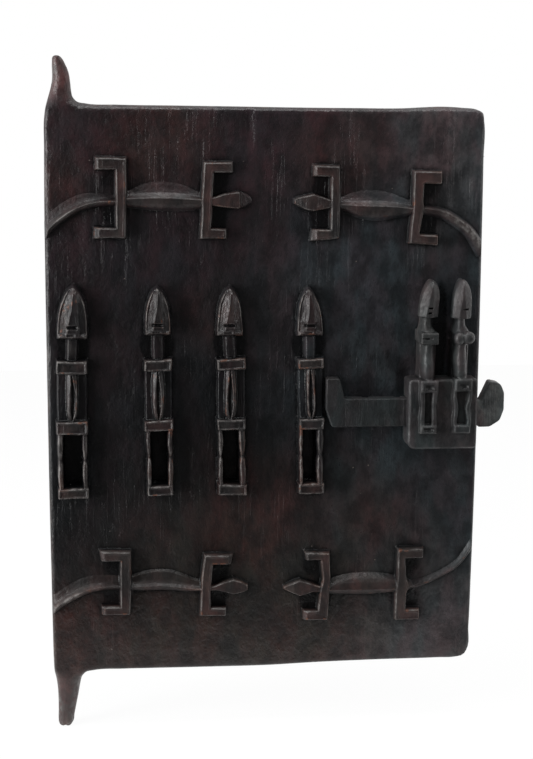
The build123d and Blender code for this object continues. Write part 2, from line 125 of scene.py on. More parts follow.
# ---- figures carved on the plank
# The axis as (height, x). The head's crown, chin and half width. Each block's top, bottom, half
# width and how much higher its right end is. The gap between the legs: how far right of the axis,
# and half width. The body's ridge: how far right, half widths at its top, middle and bottom, and
# how far right its facet is
FIGURES = {
    "figure_1": dict(
        axis=((255, 11), (328, 10.8), (390, 11.1), (425, 12.5), (475, 14)),
        head=(474.6, 418.4, 16.2), shoulders=(398, 382.8, 16.4, 0), hips=(335.6, 320, 16.7, 0),
        feet=(265.6, 253, 16.4, 0.4), gap=(0.2, 9.2), ridge=(0.3, 5.8, 6.3, 5.4, 1.5),
    ),
    "figure_2": dict(
        axis=((255, 100.4), (328, 99.3), (390, 98.7), (425, 98.4), (475, 98)),
        head=(472.6, 421.8, 13.9), shoulders=(398.6, 385, 15, 0.8), hips=(335.8, 322.4, 15.4, 0.9),
        feet=(267, 254.6, 14.4, 0.5), gap=(-0.4, 8), ridge=(-0.4, 5.8, 7, 5.4, 0.3),
    ),
    "figure_3": dict(
        axis=((255, 175), (328, 173.8), (390, 173.3), (425, 171.7), (475, 171.4)),
        head=(472.4, 420.4, 14.1), shoulders=(398.8, 385.4, 15.7, 1.1),
        hips=(335.8, 322.4, 15.8, 0.4), feet=(266.6, 253.2, 15.5, -0.7), gap=(-0.8, 7.8),
        ridge=(-1, 5.4, 6.6, 6, -0.3),
    ),
    "figure_4": dict(
        axis=((255, 257.4), (328, 256.8), (390, 255.3), (425, 254.4), (475, 251.6)),
        head=(471.2, 419.6, 14), shoulders=(398, 385.6, 14.2, 0.6), hips=(335.4, 321.6, 14.3, 0.2),
        feet=(266.2, 253.2, 14.3, 0.2), gap=(-1.4, 6.7), ridge=(-0.3, 4.8, 5.2, 5, 0),
    ),
}
FIGURE_MIDDLE = 365
FIGURE_MARGIN = (22, 4)       # how far a figure's grid reaches beside it, and above and below it
LEG_GAP_DEPTH = 9.0
# Along a leg's height, 0 to 1: a share of its half width, and its height
LEG_SWELL = (
    (-0.1, 0.92), (0.1, 0.97), (0.28, 1.08), (0.42, 1), (0.51, 0.8), (0.56, 0.78), (0.64, 0.94),
    (0.82, 1.08), (1.1, 0.96),
)
LEG_RELIEF = (
    (-0.1, 12.6), (0.25, 13.4), (0.46, 12.4), (0.52, 10.2), (0.57, 11.4), (0.62, 12.8),
    (0.8, 13.4), (1.1, 12.4),
)
# Along the body's height, 0 to 1: the facet's half width, the ridge's height, and how far the
# facet's middle has moved
FACET_HALF = ((0, 0.3), (0.08, 1.2), (0.2, 2.6), (0.4, 3.1), (0.62, 2.4), (0.8, 1.3), (1, 0.3))
RIDGE_CREST = ((0, 12), (0.08, 13.4), (0.25, 14.2), (0.6, 14.2), (1, 13))
FACET_SHIFT = ((0, 0.2), (0.5, 1), (1, 0))
# Along the head's height from chin to crown, 0 to 1; the first is a share of its half width
HEAD_HALF = (
    (0, 0.95), (0.03, 0.99), (0.12, 1), (0.3, 0.98), (0.48, 0.92), (0.64, 0.81), (0.78, 0.62),
    (0.87, 0.46), (0.94, 0.29), (0.98, 0.16), (1, 0.05),
)
HEAD_CREST = (
    (0, 14.4), (0.05, 15.4), (0.2, 16.4), (0.32, 17.2), (0.7, 17), (0.84, 15.4), (0.93, 12.4),
    (1, 7.5),
)
NOSE_HALF = ((0, 5), (0.16, 5), (0.25, 4.6), (0.4, 3.4), (0.6, 2.2), (0.9, 1.4), (1, 0.6))
NOSE_RIGHT = ((0, 0), (0.28, 0.3), (0.55, 1.5), (0.9, 1.4), (1, 0))
NOSE_FOR = 14.7               # the half width of the head that the nose's sizes are for

# ---- lizards carved on the plank
LIZARD_RELIEF = 11.6
BAR_GROWTH = 0.7              # the bars' outlines follow their rubbed rims
# Height across a lizard's body or tail, as shares from its ridge to its edge
STEEP_THEN_SHALLOW = (
    (0, 1), (0.05, 0.94), (0.2, 0.62), (0.35, 0.36), (0.6, 0.2), (0.85, 0.09), (1, 0),
)
RIMMED = ((0, 1), (0.06, 0.92), (0.22, 0.62), (0.4, 0.46), (0.88, 0.32), (0.95, 0.2), (1, 0))
BEVEL_THEN_WALL = ((0, 1), (0.1, 0.97), (0.7, 0.6), (0.85, 0.34), (1, 0))
FLAT_THEN_STEEP = (
    (0, 1), (0.2, 0.95), (0.45, 0.84), (0.65, 0.64), (0.82, 0.36), (0.92, 0.15), (1, 0),
)
SLOPING = ((0, 1), (0.15, 0.93), (0.45, 0.78), (0.7, 0.58), (0.88, 0.28), (1, 0))
THIN_RIDGE = ((0, 1), (0.08, 0.8), (0.3, 0.52), (0.6, 0.26), (0.85, 0.08), (1, 0))
# Low and high are the grid's corners. The body's and the tail's sides are the profile above the
# ridge, the one below it, and the ridge's height. The head's tip drops from an x, on one side, at
# a slope and with a step. Each bar is an outline, with a bevel at its toes: x, direction and
# length. Rows along the ridge and the tail are x, z and the widths above and below
LIZARDS = {
    "lizard_top_left": dict(
        low=(-16, 508), high=(204, 612), body_sides=(STEEP_THEN_SHALLOW, SLOPING, 10),
        tail_sides=(STEEP_THEN_SHALLOW, SLOPING, 8.8), tip=(181.4, 1, 0.4, 4),
        toes=((35, 1, 6.4), (174.6, -1, 3.4)),
        bars=(
            (
                (67.4, 520.8), (35, 520.6), (35.2, 531.8), (57.4, 531.5), (57, 588.8),
                (37.2, 588.6), (37.4, 600.8), (68.8, 600.4),
            ),
            (
                (141.8, 520), (168, 520.2), (167.8, 530.2), (153, 530.4), (156, 585.6),
                (174.6, 585.8), (174.2, 596.6), (145, 596.8), (143.2, 560),
            ),
        ),
        ridge=(
            (62, 560, 6, 8), (70, 560.2, 7, 9), (80, 560.4, 12.5, 10.6), (90, 560.6, 15.6, 12),
            (102, 560.4, 16.4, 13), (114, 560.2, 16.2, 12.8), (126, 559.6, 14, 12),
            (136, 559, 9, 10.6), (150, 558.6, 5, 9),
        ),
        tail=(
            (64, 557.6, 5, 5), (50, 557.2, 6.5, 5), (40, 556.6, 9, 5), (30, 554.6, 11.5, 4.8),
            (20, 551.4, 12, 4.6), (10, 546, 11.5, 4.4), (0, 538.8, 11, 4.2), (-8, 531, 10.5, 4.2),
            (-15.5, 522, 10, 4.2),
        ),
        head=(
            (150, 552.8), (156, 551.8), (166, 550.8), (180, 549.4), (188, 551), (195.4, 555.2),
            (195.8, 560.5), (189, 565), (180, 567.8), (166, 565.8), (156.2, 562.4), (150, 561),
        ),
    ),
    "lizard_top_right": dict(
        low=(231, 500), high=(441, 603), body_sides=(STEEP_THEN_SHALLOW, SLOPING, 10),
        tail_sides=(BEVEL_THEN_WALL, SLOPING, 7.6), tip=(252, -1, 0.22, 0),
        toes=((253.4, 1, 7), (388.4, -1, 2.6)),
        bars=(
            (
                (283.4, 520), (253.4, 517), (255.2, 529.6), (273.4, 529.4), (273.8, 582.4),
                (256, 582.6), (256.2, 594), (283, 593.4), (284, 555),
            ),
            (
                (358.2, 588.8), (388.4, 588.2), (388, 575), (370, 575.2), (369.6, 557),
                (370.6, 551), (369.4, 544), (367.8, 535), (366.4, 524.6), (385.8, 523.2),
                (385.6, 512.4), (355.2, 514.8), (356.2, 530), (358.2, 550),
            ),
        ),
        ridge=(
            (272, 554.4, 5, 5), (285, 554, 6.4, 5.4), (295, 553.2, 12.4, 9.4),
            (305, 552.6, 15.6, 12.8), (316, 552.2, 16.8, 14.6), (328, 552, 16, 14.4),
            (340, 551.4, 13, 12), (352, 550.6, 8.4, 8.6), (368, 550, 4, 5),
        ),
        tail=(
            (362, 550.2, 4, 7), (372, 549.9, 3.6, 6.8), (381, 549, 3.6, 6.8), (391, 547.2, 3.8, 7),
            (400, 542.4, 4.2, 7.4), (408, 537.2, 4.2, 7.8), (415, 532, 4.4, 8),
            (422, 525.6, 4.4, 8), (428, 517.2, 4.4, 8), (434, 506, 4.4, 8),
        ),
        head=(
            (283, 552), (274, 550.6), (266, 548.8), (256.5, 546.8), (247, 548.8), (240, 552.2),
            (236.4, 554.6), (236.2, 560.2), (240, 562.2), (249, 564.2), (256.7, 565.8),
            (266, 562.8), (274, 560), (283, 558.6),
        ),
    ),
    "lizard_bottom_left": dict(
        low=(-16, 113), high=(200, 205), body_sides=(RIMMED, BEVEL_THEN_WALL, 9.8),
        tail_sides=(STEEP_THEN_SHALLOW, SLOPING, 8.6), tip=(190, 1, 0.2, 0),
        toes=((36.6, 1, 6.2), (176, -1, 6.4)),
        bars=(
            (
                (68, 126.6), (38.8, 126.8), (38, 136.4), (57.4, 136.2), (58, 185.2), (38.4, 185),
                (36.6, 196.2), (69.8, 195.6), (69.4, 160),
            ),
            (
                (141, 123), (168.8, 122.4), (168.8, 131.8), (153, 132.2), (152.6, 148),
                (155.2, 178.4), (173.6, 178.2), (176, 189), (145.6, 189.6), (142.8, 165),
            ),
        ),
        ridge=(
            (60, 156.4, 6, 5), (70, 156.6, 11, 5.4), (80, 156.8, 14, 5.8), (90, 156.8, 16, 5.8),
            (100, 156.2, 17.2, 5.6), (110, 155.4, 17, 5.2), (122, 153.9, 14, 5),
            (134, 152.8, 9.6, 4.6), (150, 152.4, 6, 4),
        ),
        tail=(
            (64, 157.6, 8, 5), (50, 157.4, 10.4, 5), (40, 156.8, 12, 5), (30, 155.6, 12.6, 5),
            (20, 152.8, 12.6, 5), (10, 147.8, 12.2, 5), (0, 142.4, 11.4, 5), (-8, 136.8, 10.6, 5),
            (-15.5, 130.6, 10, 5),
        ),
        head=(
            (150, 149.6), (157, 150), (166, 147.8), (176.5, 144.6), (186, 146.6), (192.6, 149.8),
            (192.6, 156.2), (186, 160), (176.5, 162.8), (166, 160.2), (156.4, 156.8), (150, 156.4),
        ),
    ),
    "lizard_bottom_right": dict(
        low=(221, 105), high=(441, 207), body_sides=(FLAT_THEN_STEEP, BEVEL_THEN_WALL, 9.8),
        tail_sides=(THIN_RIDGE, SLOPING, 5.4), tip=(241, -1, 0.25, 0),
        toes=((250.6, 1, 5.4), (378.8, -1, 2.2)),
        bars=(
            (
                (277, 114.8), (250.8, 115.2), (250.6, 125.8), (265.6, 126), (267.8, 147),
                (270.6, 160), (268, 180.6), (253.2, 181), (251.6, 190), (278, 189.2), (279.6, 160),
                (279, 147),
            ),
            (
                (348.8, 112.6), (375.8, 112.2), (375.6, 124), (361, 124.4), (361.4, 142),
                (364.8, 150), (361, 160), (359.4, 180.2), (378.6, 180.6), (378.8, 191.4),
                (350.8, 191.6), (350.8, 160), (349, 145),
            ),
        ),
        ridge=(
            (262, 147.6, 5, 4), (274, 147.8, 7, 5.4), (284, 147.8, 11.6, 7),
            (296, 147.8, 15.2, 7.4), (310, 147.6, 16.6, 7.6), (324, 147.6, 16.6, 7.6),
            (338, 147.6, 15, 7.2), (350, 147.7, 12, 6.4), (362, 148, 8, 5),
        ),
        tail=(
            (352, 147.9, 7, 4), (364, 148, 6, 3.6), (374, 149.4, 5.2, 3.4), (386, 153.6, 4.6, 3.4),
            (398, 159.3, 4.4, 3.4), (409, 164.8, 4.4, 3.4), (417, 170.6, 4.2, 3.4),
            (423, 177.4, 4, 3.4), (429, 186.6, 4, 3.4), (434.5, 196, 4, 3.4),
        ),
        head=(
            (275, 147.4), (268.3, 147.6), (258, 144.8), (247.4, 141), (238, 144.6), (230.2, 148),
            (228.4, 149.6), (229, 152.8), (238, 157), (247.4, 160.3), (258, 156.8), (266, 153.8),
            (275, 152.6),
        ),
    ),
}

# ---- rubbing, painted shade and painted highlights
# Painted shade between the forms, beside the figures' necks, in the lizards' notches and about the
# lock: x, z, half width, half height and how dark
PAINTED_SHADE_PATCHES = (
    (22, 411, 9, 13, 1.1), (1, 411, 6, 12, 0.8), (87, 412, 7, 14, 1.9), (109, 411, 8, 13, 1.2),
    (161, 413, 7, 13, 1.5), (183, 413, 7, 13, 1.3), (243, 411, 8, 14, 1.5), (266, 411, 8, 14, 1.4),
    (49, 578, 9, 10, 0.9), (50, 544, 10, 10, 0.9), (163, 577, 10, 10, 1.2),
    (161, 540, 10, 10, 1.2), (264, 572, 10, 11, 1.1), (263, 540, 10, 11, 1.2),
    (378, 568, 10, 9, 0.8), (377, 534, 10, 10, 1.1), (48, 176, 10, 10, 1), (49, 146, 10, 9, 1.4),
    (164, 171, 10, 10, 1.2), (162, 141, 10, 10, 1.4), (259, 171, 10, 11, 1.2),
    (256, 134, 10, 11, 1.4), (369, 168, 9, 12, 0.9), (369, 134, 9, 11, 1.1),
    (391, 440, 9, 40, 1.5), (391, 400, 9, 32, 1.5), (352, 376, 10, 26, 0.7),
    (322, 360, 42, 8, 0.35), (322, 322, 34, 4, 0.5),
)
# Painted highlights on forms beside the plank's edges, laid on as a lighter rub: the same, and how
# strong
PAINTED_HIGHLIGHT_PLACES = (
    (404, 540, 24, 13, 0.85), (424, 522, 18, 18, 1), (2, 143, 24, 15, 0.85), (4, 541, 22, 14, 0.5),
    (4, 446, 8, 28, 0.6), (0, 300, 7, 40, 0.55), (12, 412, 7, 14, 0.5),
)
# How much hands rub a form by its height: they reach the highest ones
FIGURES_RUBBED = ((6, 0.2), (9.4, 0.3), (11.2, 1))
LIZARDS_RUBBED = ((2, 0.1), (5, 0.6), (8, 0.85), (10.4, 0.9))
# Heights between which a form takes on the relief's own colour
FIGURES_RAISED, LIZARDS_RAISED = (9.0, 12.0), (1.0, 8.0)
SHADE_LOW, SHADE_HIGH, SHADE_STEP = (-20, 60), (445, 660), 1.5     # the ground's grid of painted shade
NEAR_BLUR, WIDE_BLUR = 4, 26           # passes


# ---- noise and blending
def lattice(column, row, seed):
    """A repeatable random value from 0 to 1 for each whole-number place."""
    value = (column * 374761393 + row * 668265263 + seed * 1442695041) & 0xFFFFFFFF
    value = ((value ^ (value >> 13)) * 1274126177) & 0xFFFFFFFF
    return ((value ^ (value >> 16)) & 0xFFFF) / 65535.0


def noise(x, z, seed=0):
    """Smooth noise from -1 to 1 with features about one unit across."""
    column, row = np.floor(x).astype(np.int64), np.floor(z).astype(np.int64)
    across, up = x - column, z - row
    across, up = across * across * (3 - 2 * across), up * up * (3 - 2 * up)
    lower, upper = (
        lattice(column, level, seed) * (1 - across) + lattice(column + 1, level, seed) * across
        for level in (row, row + 1))
    return 2 * (lower * (1 - up) + upper * up) - 1


def waves(x, z, layers):
    """Layers of noise over each other: each is a height, its size across and up, and its seed."""
    return sum(height * noise(x / across, z / up, seed) for height, across, up, seed in layers)


def wavering(value, size, seed):
    """Noise along one direction only."""
    return noise(value / size, value * 0 + seed[0], seed[1])


def smooth_min(a, b, reach):
    overlap = np.maximum(reach - np.abs(a - b), 0) / reach
    return np.minimum(a, b) - overlap * overlap * reach / 4


def smooth_max(a, b, reach):
    return -smooth_min(-a, -b, reach)


def smooth_step(low, high, value):
    t = np.clip((value - low) / (high - low), 0, 1)
    return t * t * (3 - 2 * t)


def window(value, rise, full, fade, end):
    """1 between full and fade, easing to 0 at rise and at end."""
    return smooth_step(rise, full, value) * (1 - smooth_step(fade, end, value))


def along(pairs, value, column=1):
    """Reads a table of rows by straight interpolation on its first column."""
    rows = np.array(pairs, float)
    return np.interp(value, rows[:, 0], rows[:, column])


def blurred(grid, passes):
    """A light blur over a grid of heights."""
    for _ in range(passes):
        for axis in (0, 1):
            before, after = np.roll(grid, 1, axis), np.roll(grid, -1, axis)
            grid = (before + 2 * grid + after) / 4
    return grid


def patches(x, z, table, outer, inner):
    """The sum of soft patches: each is x, z, half width, half height and amount."""
    total = np.zeros(x.shape)
    for middle, height, half_x, half_z, amount in table:
        reach = np.hypot((x - middle) / half_x, (z - height) / half_z)
        total = total + amount * smooth_step(outer, inner, reach)
    return total


# ---- plane geometry
def grid_over(low, high, step):
    return np.meshgrid(np.arange(low[0], high[0], step), np.arange(low[1], high[1], step),
                       indexing="ij")


def travelled(points):
    """The distance travelled at each point of a line."""
    return np.concatenate([[0], np.cumsum(np.linalg.norm(np.diff(points, axis=0), axis=1))])


def spline(points, step):
    """Points at an even spacing along a closed, smooth curve through the given points."""
    p = np.array(points, float)
    before, after, further = np.roll(p, 1, 0), np.roll(p, -1, 0), np.roll(p, -2, 0)
    t = np.linspace(0, 1, 12, endpoint=False)[:, None, None]
    chord = np.linalg.norm(after - p, axis=1)[:, None]
    chord_before, chord_after = np.roll(chord, 1, 0), np.roll(chord, -1, 0)
    start = ((p - before) / chord_before * chord + (after - p) * chord_before / chord) \
        / (chord + chord_before) * chord
    end = ((after - p) / chord * chord_after + (further - after) * chord / chord_after) \
        / (chord + chord_after) * chord
    t2, t3 = t * t, t * t * t
    curve = (2 * t3 - 3 * t2 + 1) * p + (t3 - 2 * t2 + t) * start \
        + (3 * t2 - 2 * t3) * after + (t3 - t2) * end
    curve = curve.transpose(1, 0, 2).reshape(-1, 2)
    closed = np.vstack([curve, curve[:1]])
    length = travelled(closed)
    stops = np.linspace(0, length[-1], int(length[-1] / step), endpoint=False)
    return np.column_stack([np.interp(stops, length, closed[:, i]) for i in (0, 1)])


def nearest(x, z, points, closed):
    """Distance to a line of points, the side that it is on, and the place along it, 0 to 1."""
    p = np.array(points, float)
    ends = np.roll(p, -1, 0) if closed else p[1:]
    starts = p if closed else p[:-1]
    lengths = np.linalg.norm(ends - starts, axis=1)
    reached = np.concatenate([[0], np.cumsum(lengths)])
    distance, side, place = np.full(x.shape, np.inf), np.zeros(x.shape), np.zeros(x.shape)
    for i, ((ax, az), (bx, bz)) in enumerate(zip(starts, ends)):
        dx, dz = bx - ax, bz - az
        t = np.clip(((x - ax) * dx + (z - az) * dz) / (lengths[i] ** 2), 0, 1)
        d = np.hypot(x - ax - t * dx, z - az - t * dz)
        nearer = d < distance
        distance = np.where(nearer, d, distance)
        side = np.where(nearer, np.sign(dx * (z - az) - dz * (x - ax)), side)
        place = np.where(nearer, (reached[i] + t * lengths[i]) / reached[-1], place)
    return distance, side, place


def inside(x, z, points):
    """Whether each place lies inside a closed polygon."""
    p = np.array(points, float)
    result = np.zeros(x.shape, bool)
    for (ax, az), (bx, bz) in zip(p, np.roll(p, -1, 0)):
        crosses = (az > z) != (bz > z)
        level = np.where(bz == az, 1.0, bz - az)
        result ^= crosses & (x < (bx - ax) * (z - az) / level + ax)
    return result


def depth_within(x, z, points):
    """Distance from a polygon's edge: above zero inside it and below zero outside."""
    distance, _, _ = nearest(x, z, points, closed=True)
    return np.where(inside(x, z, points), distance, -distance)


# ---- meshes
def placed(name, data):
    """A new object in the scene."""
    thing = bpy.data.objects.new(name, data)
    bpy.context.scene.collection.objects.link(thing)
    return thing


def make_object(name, vertices, faces, **marks):
    """A mesh in the scene. Marks are values for each point, such as rubbed edges with painted
    highlights and painted shade in hollows.
    """
    mesh = bpy.data.meshes.new(name)
    mesh.from_pydata((np.asarray(vertices, float) * METRES).tolist(), [], faces)
    mesh.update()
    mesh.shade_smooth()
    for mark, values in marks.items():
        store(mesh, mark, values)
    return placed(name, mesh)


def store(mesh, mark, values):
    """Keeps a value for each point: the rubbing mark, above zero on rubbed edges and partly a
    painted highlight there, and below zero in hollows and beside the reliefs, where it paints
    shade;
    and raised, how far a point belongs to the top of a relief."""
    attribute = mesh.attributes.new(mark, "FLOAT", "POINT")
    attribute.data.foreach_set("value", np.asarray(values, np.float32))


@contextmanager
def edited(mesh):
    """A mesh opened for editing, and written back after it."""
    form = bmesh.new()
    form.from_mesh(mesh)
    yield form
    form.to_mesh(mesh)
    form.free()


def face_outwards(piece):
    with edited(piece.data) as form:
        bmesh.ops.recalc_face_normals(form, faces=form.faces)


def discard(piece):
    mesh = piece.data
    bpy.data.objects.remove(piece)
    bpy.data.meshes.remove(mesh)


# ---- the plank's body
def ground(x, z):
    """How far the carved ground stands out of the flat face: shallow adze marks and gouges."""
    height = waves(x, z, GROUND_WAVES)
    for place, top, bottom, half, depth in GOUGES:
        wander = place + 1.2 * wavering(z, 22, (place, 4))
        across = np.clip(1 - ((x - wander) / half) ** 2, 0, 1)
        height = height - depth * np.sqrt(across) * smooth_step(bottom, bottom + 10, z) * (z < top)
    return height


def back_marks(x, z):
    """The rough back: hollows of a broad adze in uneven rows, over long waves."""
    level = (z + 6 * noise(x / 40, z / 200, 41)) / ADZE_ROW
    row, up = np.floor(level), level % 1 - 0.5
    lane = (x + 9 * noise(row, row * 0, 42)) / ADZE_WIDTH
    across = lane % 1 - 0.5
    depth = 0.95 + 0.5 * noise(np.floor(lane) + 0.5, row + 0.5, 43)
    return waves(x, z, BACK_WAVES) - depth * (1 - 3.6 * across ** 2 - 0.8 * up)


def pivot_share(z):
    """How far a point belongs to a pivot's round section: 0 in the plank and 1 in a pivot."""
    low, low_end, high, high_end = PIVOT_BLEND
    return 1 - smooth_step(low, low_end, z) + smooth_step(high, high_end, z)


def edge_fall(distance):
    """How far the plank's rounded edge falls away at a distance inside its outline."""
    return EDGE_ROUND * (1 - np.sqrt(1 - (1 - np.clip(distance / EDGE_ROUND, 0, 1)) ** 2))


def half_depth(x, z, edge_distance):
    """Half of the thickness at each place: flat with rounded edges, and round in the pivots."""
    share = pivot_share(z)
    left, right, depth = (along(BOTTOM_PIVOT + TOP_PIVOT, z, column) for column in (1, 2, 3))
    middle, half = (left + right) / 2, (right - left) / 2
    across = np.clip(np.abs(x - middle) / half, 0, 0.985)
    return (HALF_THICKNESS - edge_fall(edge_distance)) * (1 - share) \
        + depth * np.sqrt(1 - across ** 2) * share


def figure_across(x, z, spec):
    """Distance from a figure's leaning axis."""
    return x - along(spec["axis"], z)


def in_leg_gap(x, z, spare):
    """Where the ground is cut away between a figure's legs."""
    result = np.zeros(x.shape, bool)
    for spec in FIGURES.values():
        across = figure_across(x, z, spec) - spec["gap"][0]
        high, low = spec["hips"][1] + spare, spec["feet"][0] - spare
        result |= (np.abs(across) < spec["gap"][1] + spare) & (z > low) & (z < high)
    return result


def triangulated(points, border):
    """Triangles over the points inside a closed border, which is the first points."""
    edges = [(i, (i + 1) % border) for i in range(border)]
    result = delaunay_2d_cdt([Vector(p) for p in points.tolist()], edges, [], 1, 1e-6)
    places = np.array([tuple(v) for v in result[0]])
    origin = np.array([o[0] if o else -1 for o in result[3]])
    return places, origin, [tuple(f) for f in result[2]]


def sheet_points(outline, rings, step, seed):
    """The border, some rings inside it, and an uneven grid over the rest."""
    tangent = np.roll(outline, -1, 0) - np.roll(outline, 1, 0)
    tangent /= np.linalg.norm(tangent, axis=1)[:, None]
    inward = np.column_stack([-tangent[:, 1], tangent[:, 0]])
    random = np.random.default_rng(seed)
    sets = [outline]
    for ring in rings:
        points = outline + inward * ring
        d, _, _ = nearest(points[:, 0], points[:, 1], outline[::3], closed=True)
        sets.append(points[(d > ring * 0.85) & inside(points[:, 0], points[:, 1], outline)])
    low, high = outline.min(0), outline.max(0)
    x, z = np.meshgrid(np.arange(low[0], high[0], step), np.arange(low[1], high[1], step))
    x, z = (line.ravel() for line in (x, z))
    x, z = (line + random.uniform(-STEP_JITTER, STEP_JITTER, line.shape) * step for line in (x, z))
    keep = inside(x, z, outline)
    x, z = x[keep], z[keep]
    d, _, _ = nearest(x, z, outline[::3], closed=True)
    sets.append(np.column_stack([x, z])[d > rings[-1] + step * 0.6])
    return np.vstack(sets)


def reliefs():
    """Each form carved on the plank: its name, its grid's corners and its heights."""
    beside, beyond = FIGURE_MARGIN
    for index, (name, spec) in enumerate(FIGURES.items()):
        middle = along(spec["axis"], FIGURE_MIDDLE)
        low = middle - beside, spec["feet"][1] - beyond
        high = middle + beside, spec["head"][0] + beyond
        yield name, low, high, figure_shape(spec, index * 7)
    for name, spec in LIZARDS.items():
        yield name, spec["low"], spec["high"], lizard_shape(spec)


def relief_shade(x, z):
    """Painted shade on the ground beside and between the reliefs, from a blurred cover of them and
    patches: how dark.
    """
    grid_x, grid_z = grid_over(SHADE_LOW, SHADE_HIGH, SHADE_STEP)
    cover = np.zeros(grid_x.shape)
    for _, low, high, shape in reliefs():
        part = (grid_x >= low[0]) & (grid_x <= high[0]) & (grid_z >= low[1]) & (grid_z <= high[1])
        cover[part] = np.maximum(cover[part], shape(grid_x[part], grid_z[part]) > 1.0)
    shade = 0.9 * blurred(cover, NEAR_BLUR) + 1.1 * blurred(cover, WIDE_BLUR)
    # patches of painted shade between the forms
    shade = shade + patches(grid_x, grid_z, PAINTED_SHADE_PATCHES, 1.25, 0.3)
    shade = np.clip(shade * (0.85 + 0.3 * noise(grid_x / 7, grid_z / 9, 31)), 0, 1.6)
    column, row = (
        np.clip(((value - start) / SHADE_STEP).round().astype(int), 0, count - 1)
        for value, start, count in zip((x, z), SHADE_LOW, shade.shape))
    return shade[column, row] * (1 - pivot_share(z))


def edge_wear(x, z, edge_distance):
    """How rubbed the plank is towards its edges and on its pivots; the wider, stronger band on the
    hinge side is a painted highlight of the rounded edge.
    """
    rubbed, width = (np.where(x < HINGE_SIDE, *pair) for pair in ((0.95, 0.75), (3.6, 2.2)))
    wear = rubbed * np.exp(-edge_distance / width) + 0.5 * pivot_share(z)
    return wear * (0.7 + 0.5 * noise(x / 9, z / 22, 9))


def plank_sheet(outline, side, rings, step, seed):
    """The carved face (side -1) or the back (side 1): its points, their rubbing marks with painted
    highlights and shade, its triangles, and which points are its border's."""
    border = len(outline)
    places, origin, triangles = triangulated(sheet_points(outline, rings, step, seed), border)
    x, z = places.T
    edge_distance = np.full(x.shape, FAR_INSIDE)
    left, right, bottom, top = NO_EDGE_WITHIN
    near = (x < left) | (x > right) | (z < bottom) | (z > top)
    edge_distance[near], _, _ = nearest(x[near], z[near], outline[::2], closed=True)
    edge_distance[origin < border] = np.where(origin[origin < border] >= 0, 0.0, FAR_INSIDE)
    rough = ground(x, z) if side < 0 else back_marks(x, z)
    y = half_depth(x, z, edge_distance) \
        + rough * (1 - 0.7 * pivot_share(z)) * smooth_step(-1, 5, edge_distance)
    wear = edge_wear(x, z, edge_distance)
    if side < 0:
        y = y - (LEG_GAP_DEPTH + 1.5) * in_leg_gap(x, z, 2.0)
        # painted shade beside the reliefs darkens the ground
        wear = wear - relief_shade(x, z)
        triangles = [triangle[::-1] for triangle in triangles]
    on_border = np.empty(border, int)
    for index, source in enumerate(origin):
        if 0 <= source < border:
            on_border[source] = index
    return np.column_stack([x, side * y, z]), wear, triangles, on_border


def edge_row(front, back, share):
    """A row of points round the plank's edge, between the face's border and the back's."""
    row = front * (1 - share) + back * share
    wobble = 0.25 * noise(row[:, 1] / 5, (row[:, 0] + row[:, 2]) / 14, 10)
    inward = -np.sign(row[:, 0] - MIDDLE_X)
    row[:, 0] += inward * np.abs(wobble) * (1 - pivot_share(row[:, 2]))
    return row


def make_plank():
    outline = spline(OUTLINE, OUTLINE_STEP)
    outline[:, 0] = np.maximum(outline[:, 0], LEFTMOST)
    border = len(outline)
    front, front_wear, faces, front_border = plank_sheet(outline, -1, FRONT_RINGS, GROUND_STEP, 5)
    back, back_wear, back_faces, back_border = plank_sheet(outline, 1, BACK_RINGS, BACK_STEP, 6)
    faces = faces + [tuple(len(front) + i for i in face) for face in back_faces]
    points, wear, rows = [front, back], [front_wear, back_wear], [front_border]
    for lane in range(1, EDGE_LANES):
        rows.append(np.arange(border) + sum(len(part) for part in points))
        points.append(edge_row(front[front_border], back[back_border], lane / EDGE_LANES))
        wear.append(np.full(border, EDGE_RUBBED))
    rows.append(back_border + len(front))
    for first, second in zip(rows[:-1], rows[1:]):
        quads = np.column_stack([first, second, np.roll(second, -1), np.roll(first, -1)])
        faces += quads.tolist()
    piece = make_object("door_body", np.vstack(points), faces, wear=np.concatenate(wear))
    face_outwards(piece)
    return piece


# ---- forms carved on the plank
RELIEF_STEP = 0.55
UNDER = -0.3                  # a form's grid runs this far under the plank's ground
FLOOR_DEPTH = 11.5            # and is closed this far inside the plank
ABSENT = -9.0                 # a form's height where it isn't
HAND_WANDER = 0.38            # how far an outline strays from its drawing
FINE_GRAIN = 0.05


def carved(distance, relief, bevel, steep=11.0, slope=0.95):
    """Height at a distance inside a form's outline: a steep side, a bevel and a flat front."""
    wall = distance * steep
    chamfer = relief - bevel + (distance - (relief - bevel) / steep) * slope
    return smooth_min(wall, smooth_min(chamfer, np.full(distance.shape, relief), 0.4), 0.6)


def within(value, low, high, height):
    return np.where((value > low) & (value < high), height, ABSENT)


def grid_quads(formed):
    """The points that a grid's formed cells use, and those cells as quads."""
    cell = formed[:-1, :-1] | formed[1:, :-1] | formed[:-1, 1:] | formed[1:, 1:]
    used = np.zeros(formed.shape, bool)
    for i, j in ((0, 0), (1, 0), (0, 1), (1, 1)):
        used[i:i + cell.shape[0], j:j + cell.shape[1]] |= cell
    index = np.full(formed.shape, -1)
    index[used] = np.arange(used.sum())
    corners = (index[:-1, :-1], index[1:, :-1], index[1:, 1:], index[:-1, 1:])
    return used, np.column_stack([corner[cell] for corner in corners]).tolist()


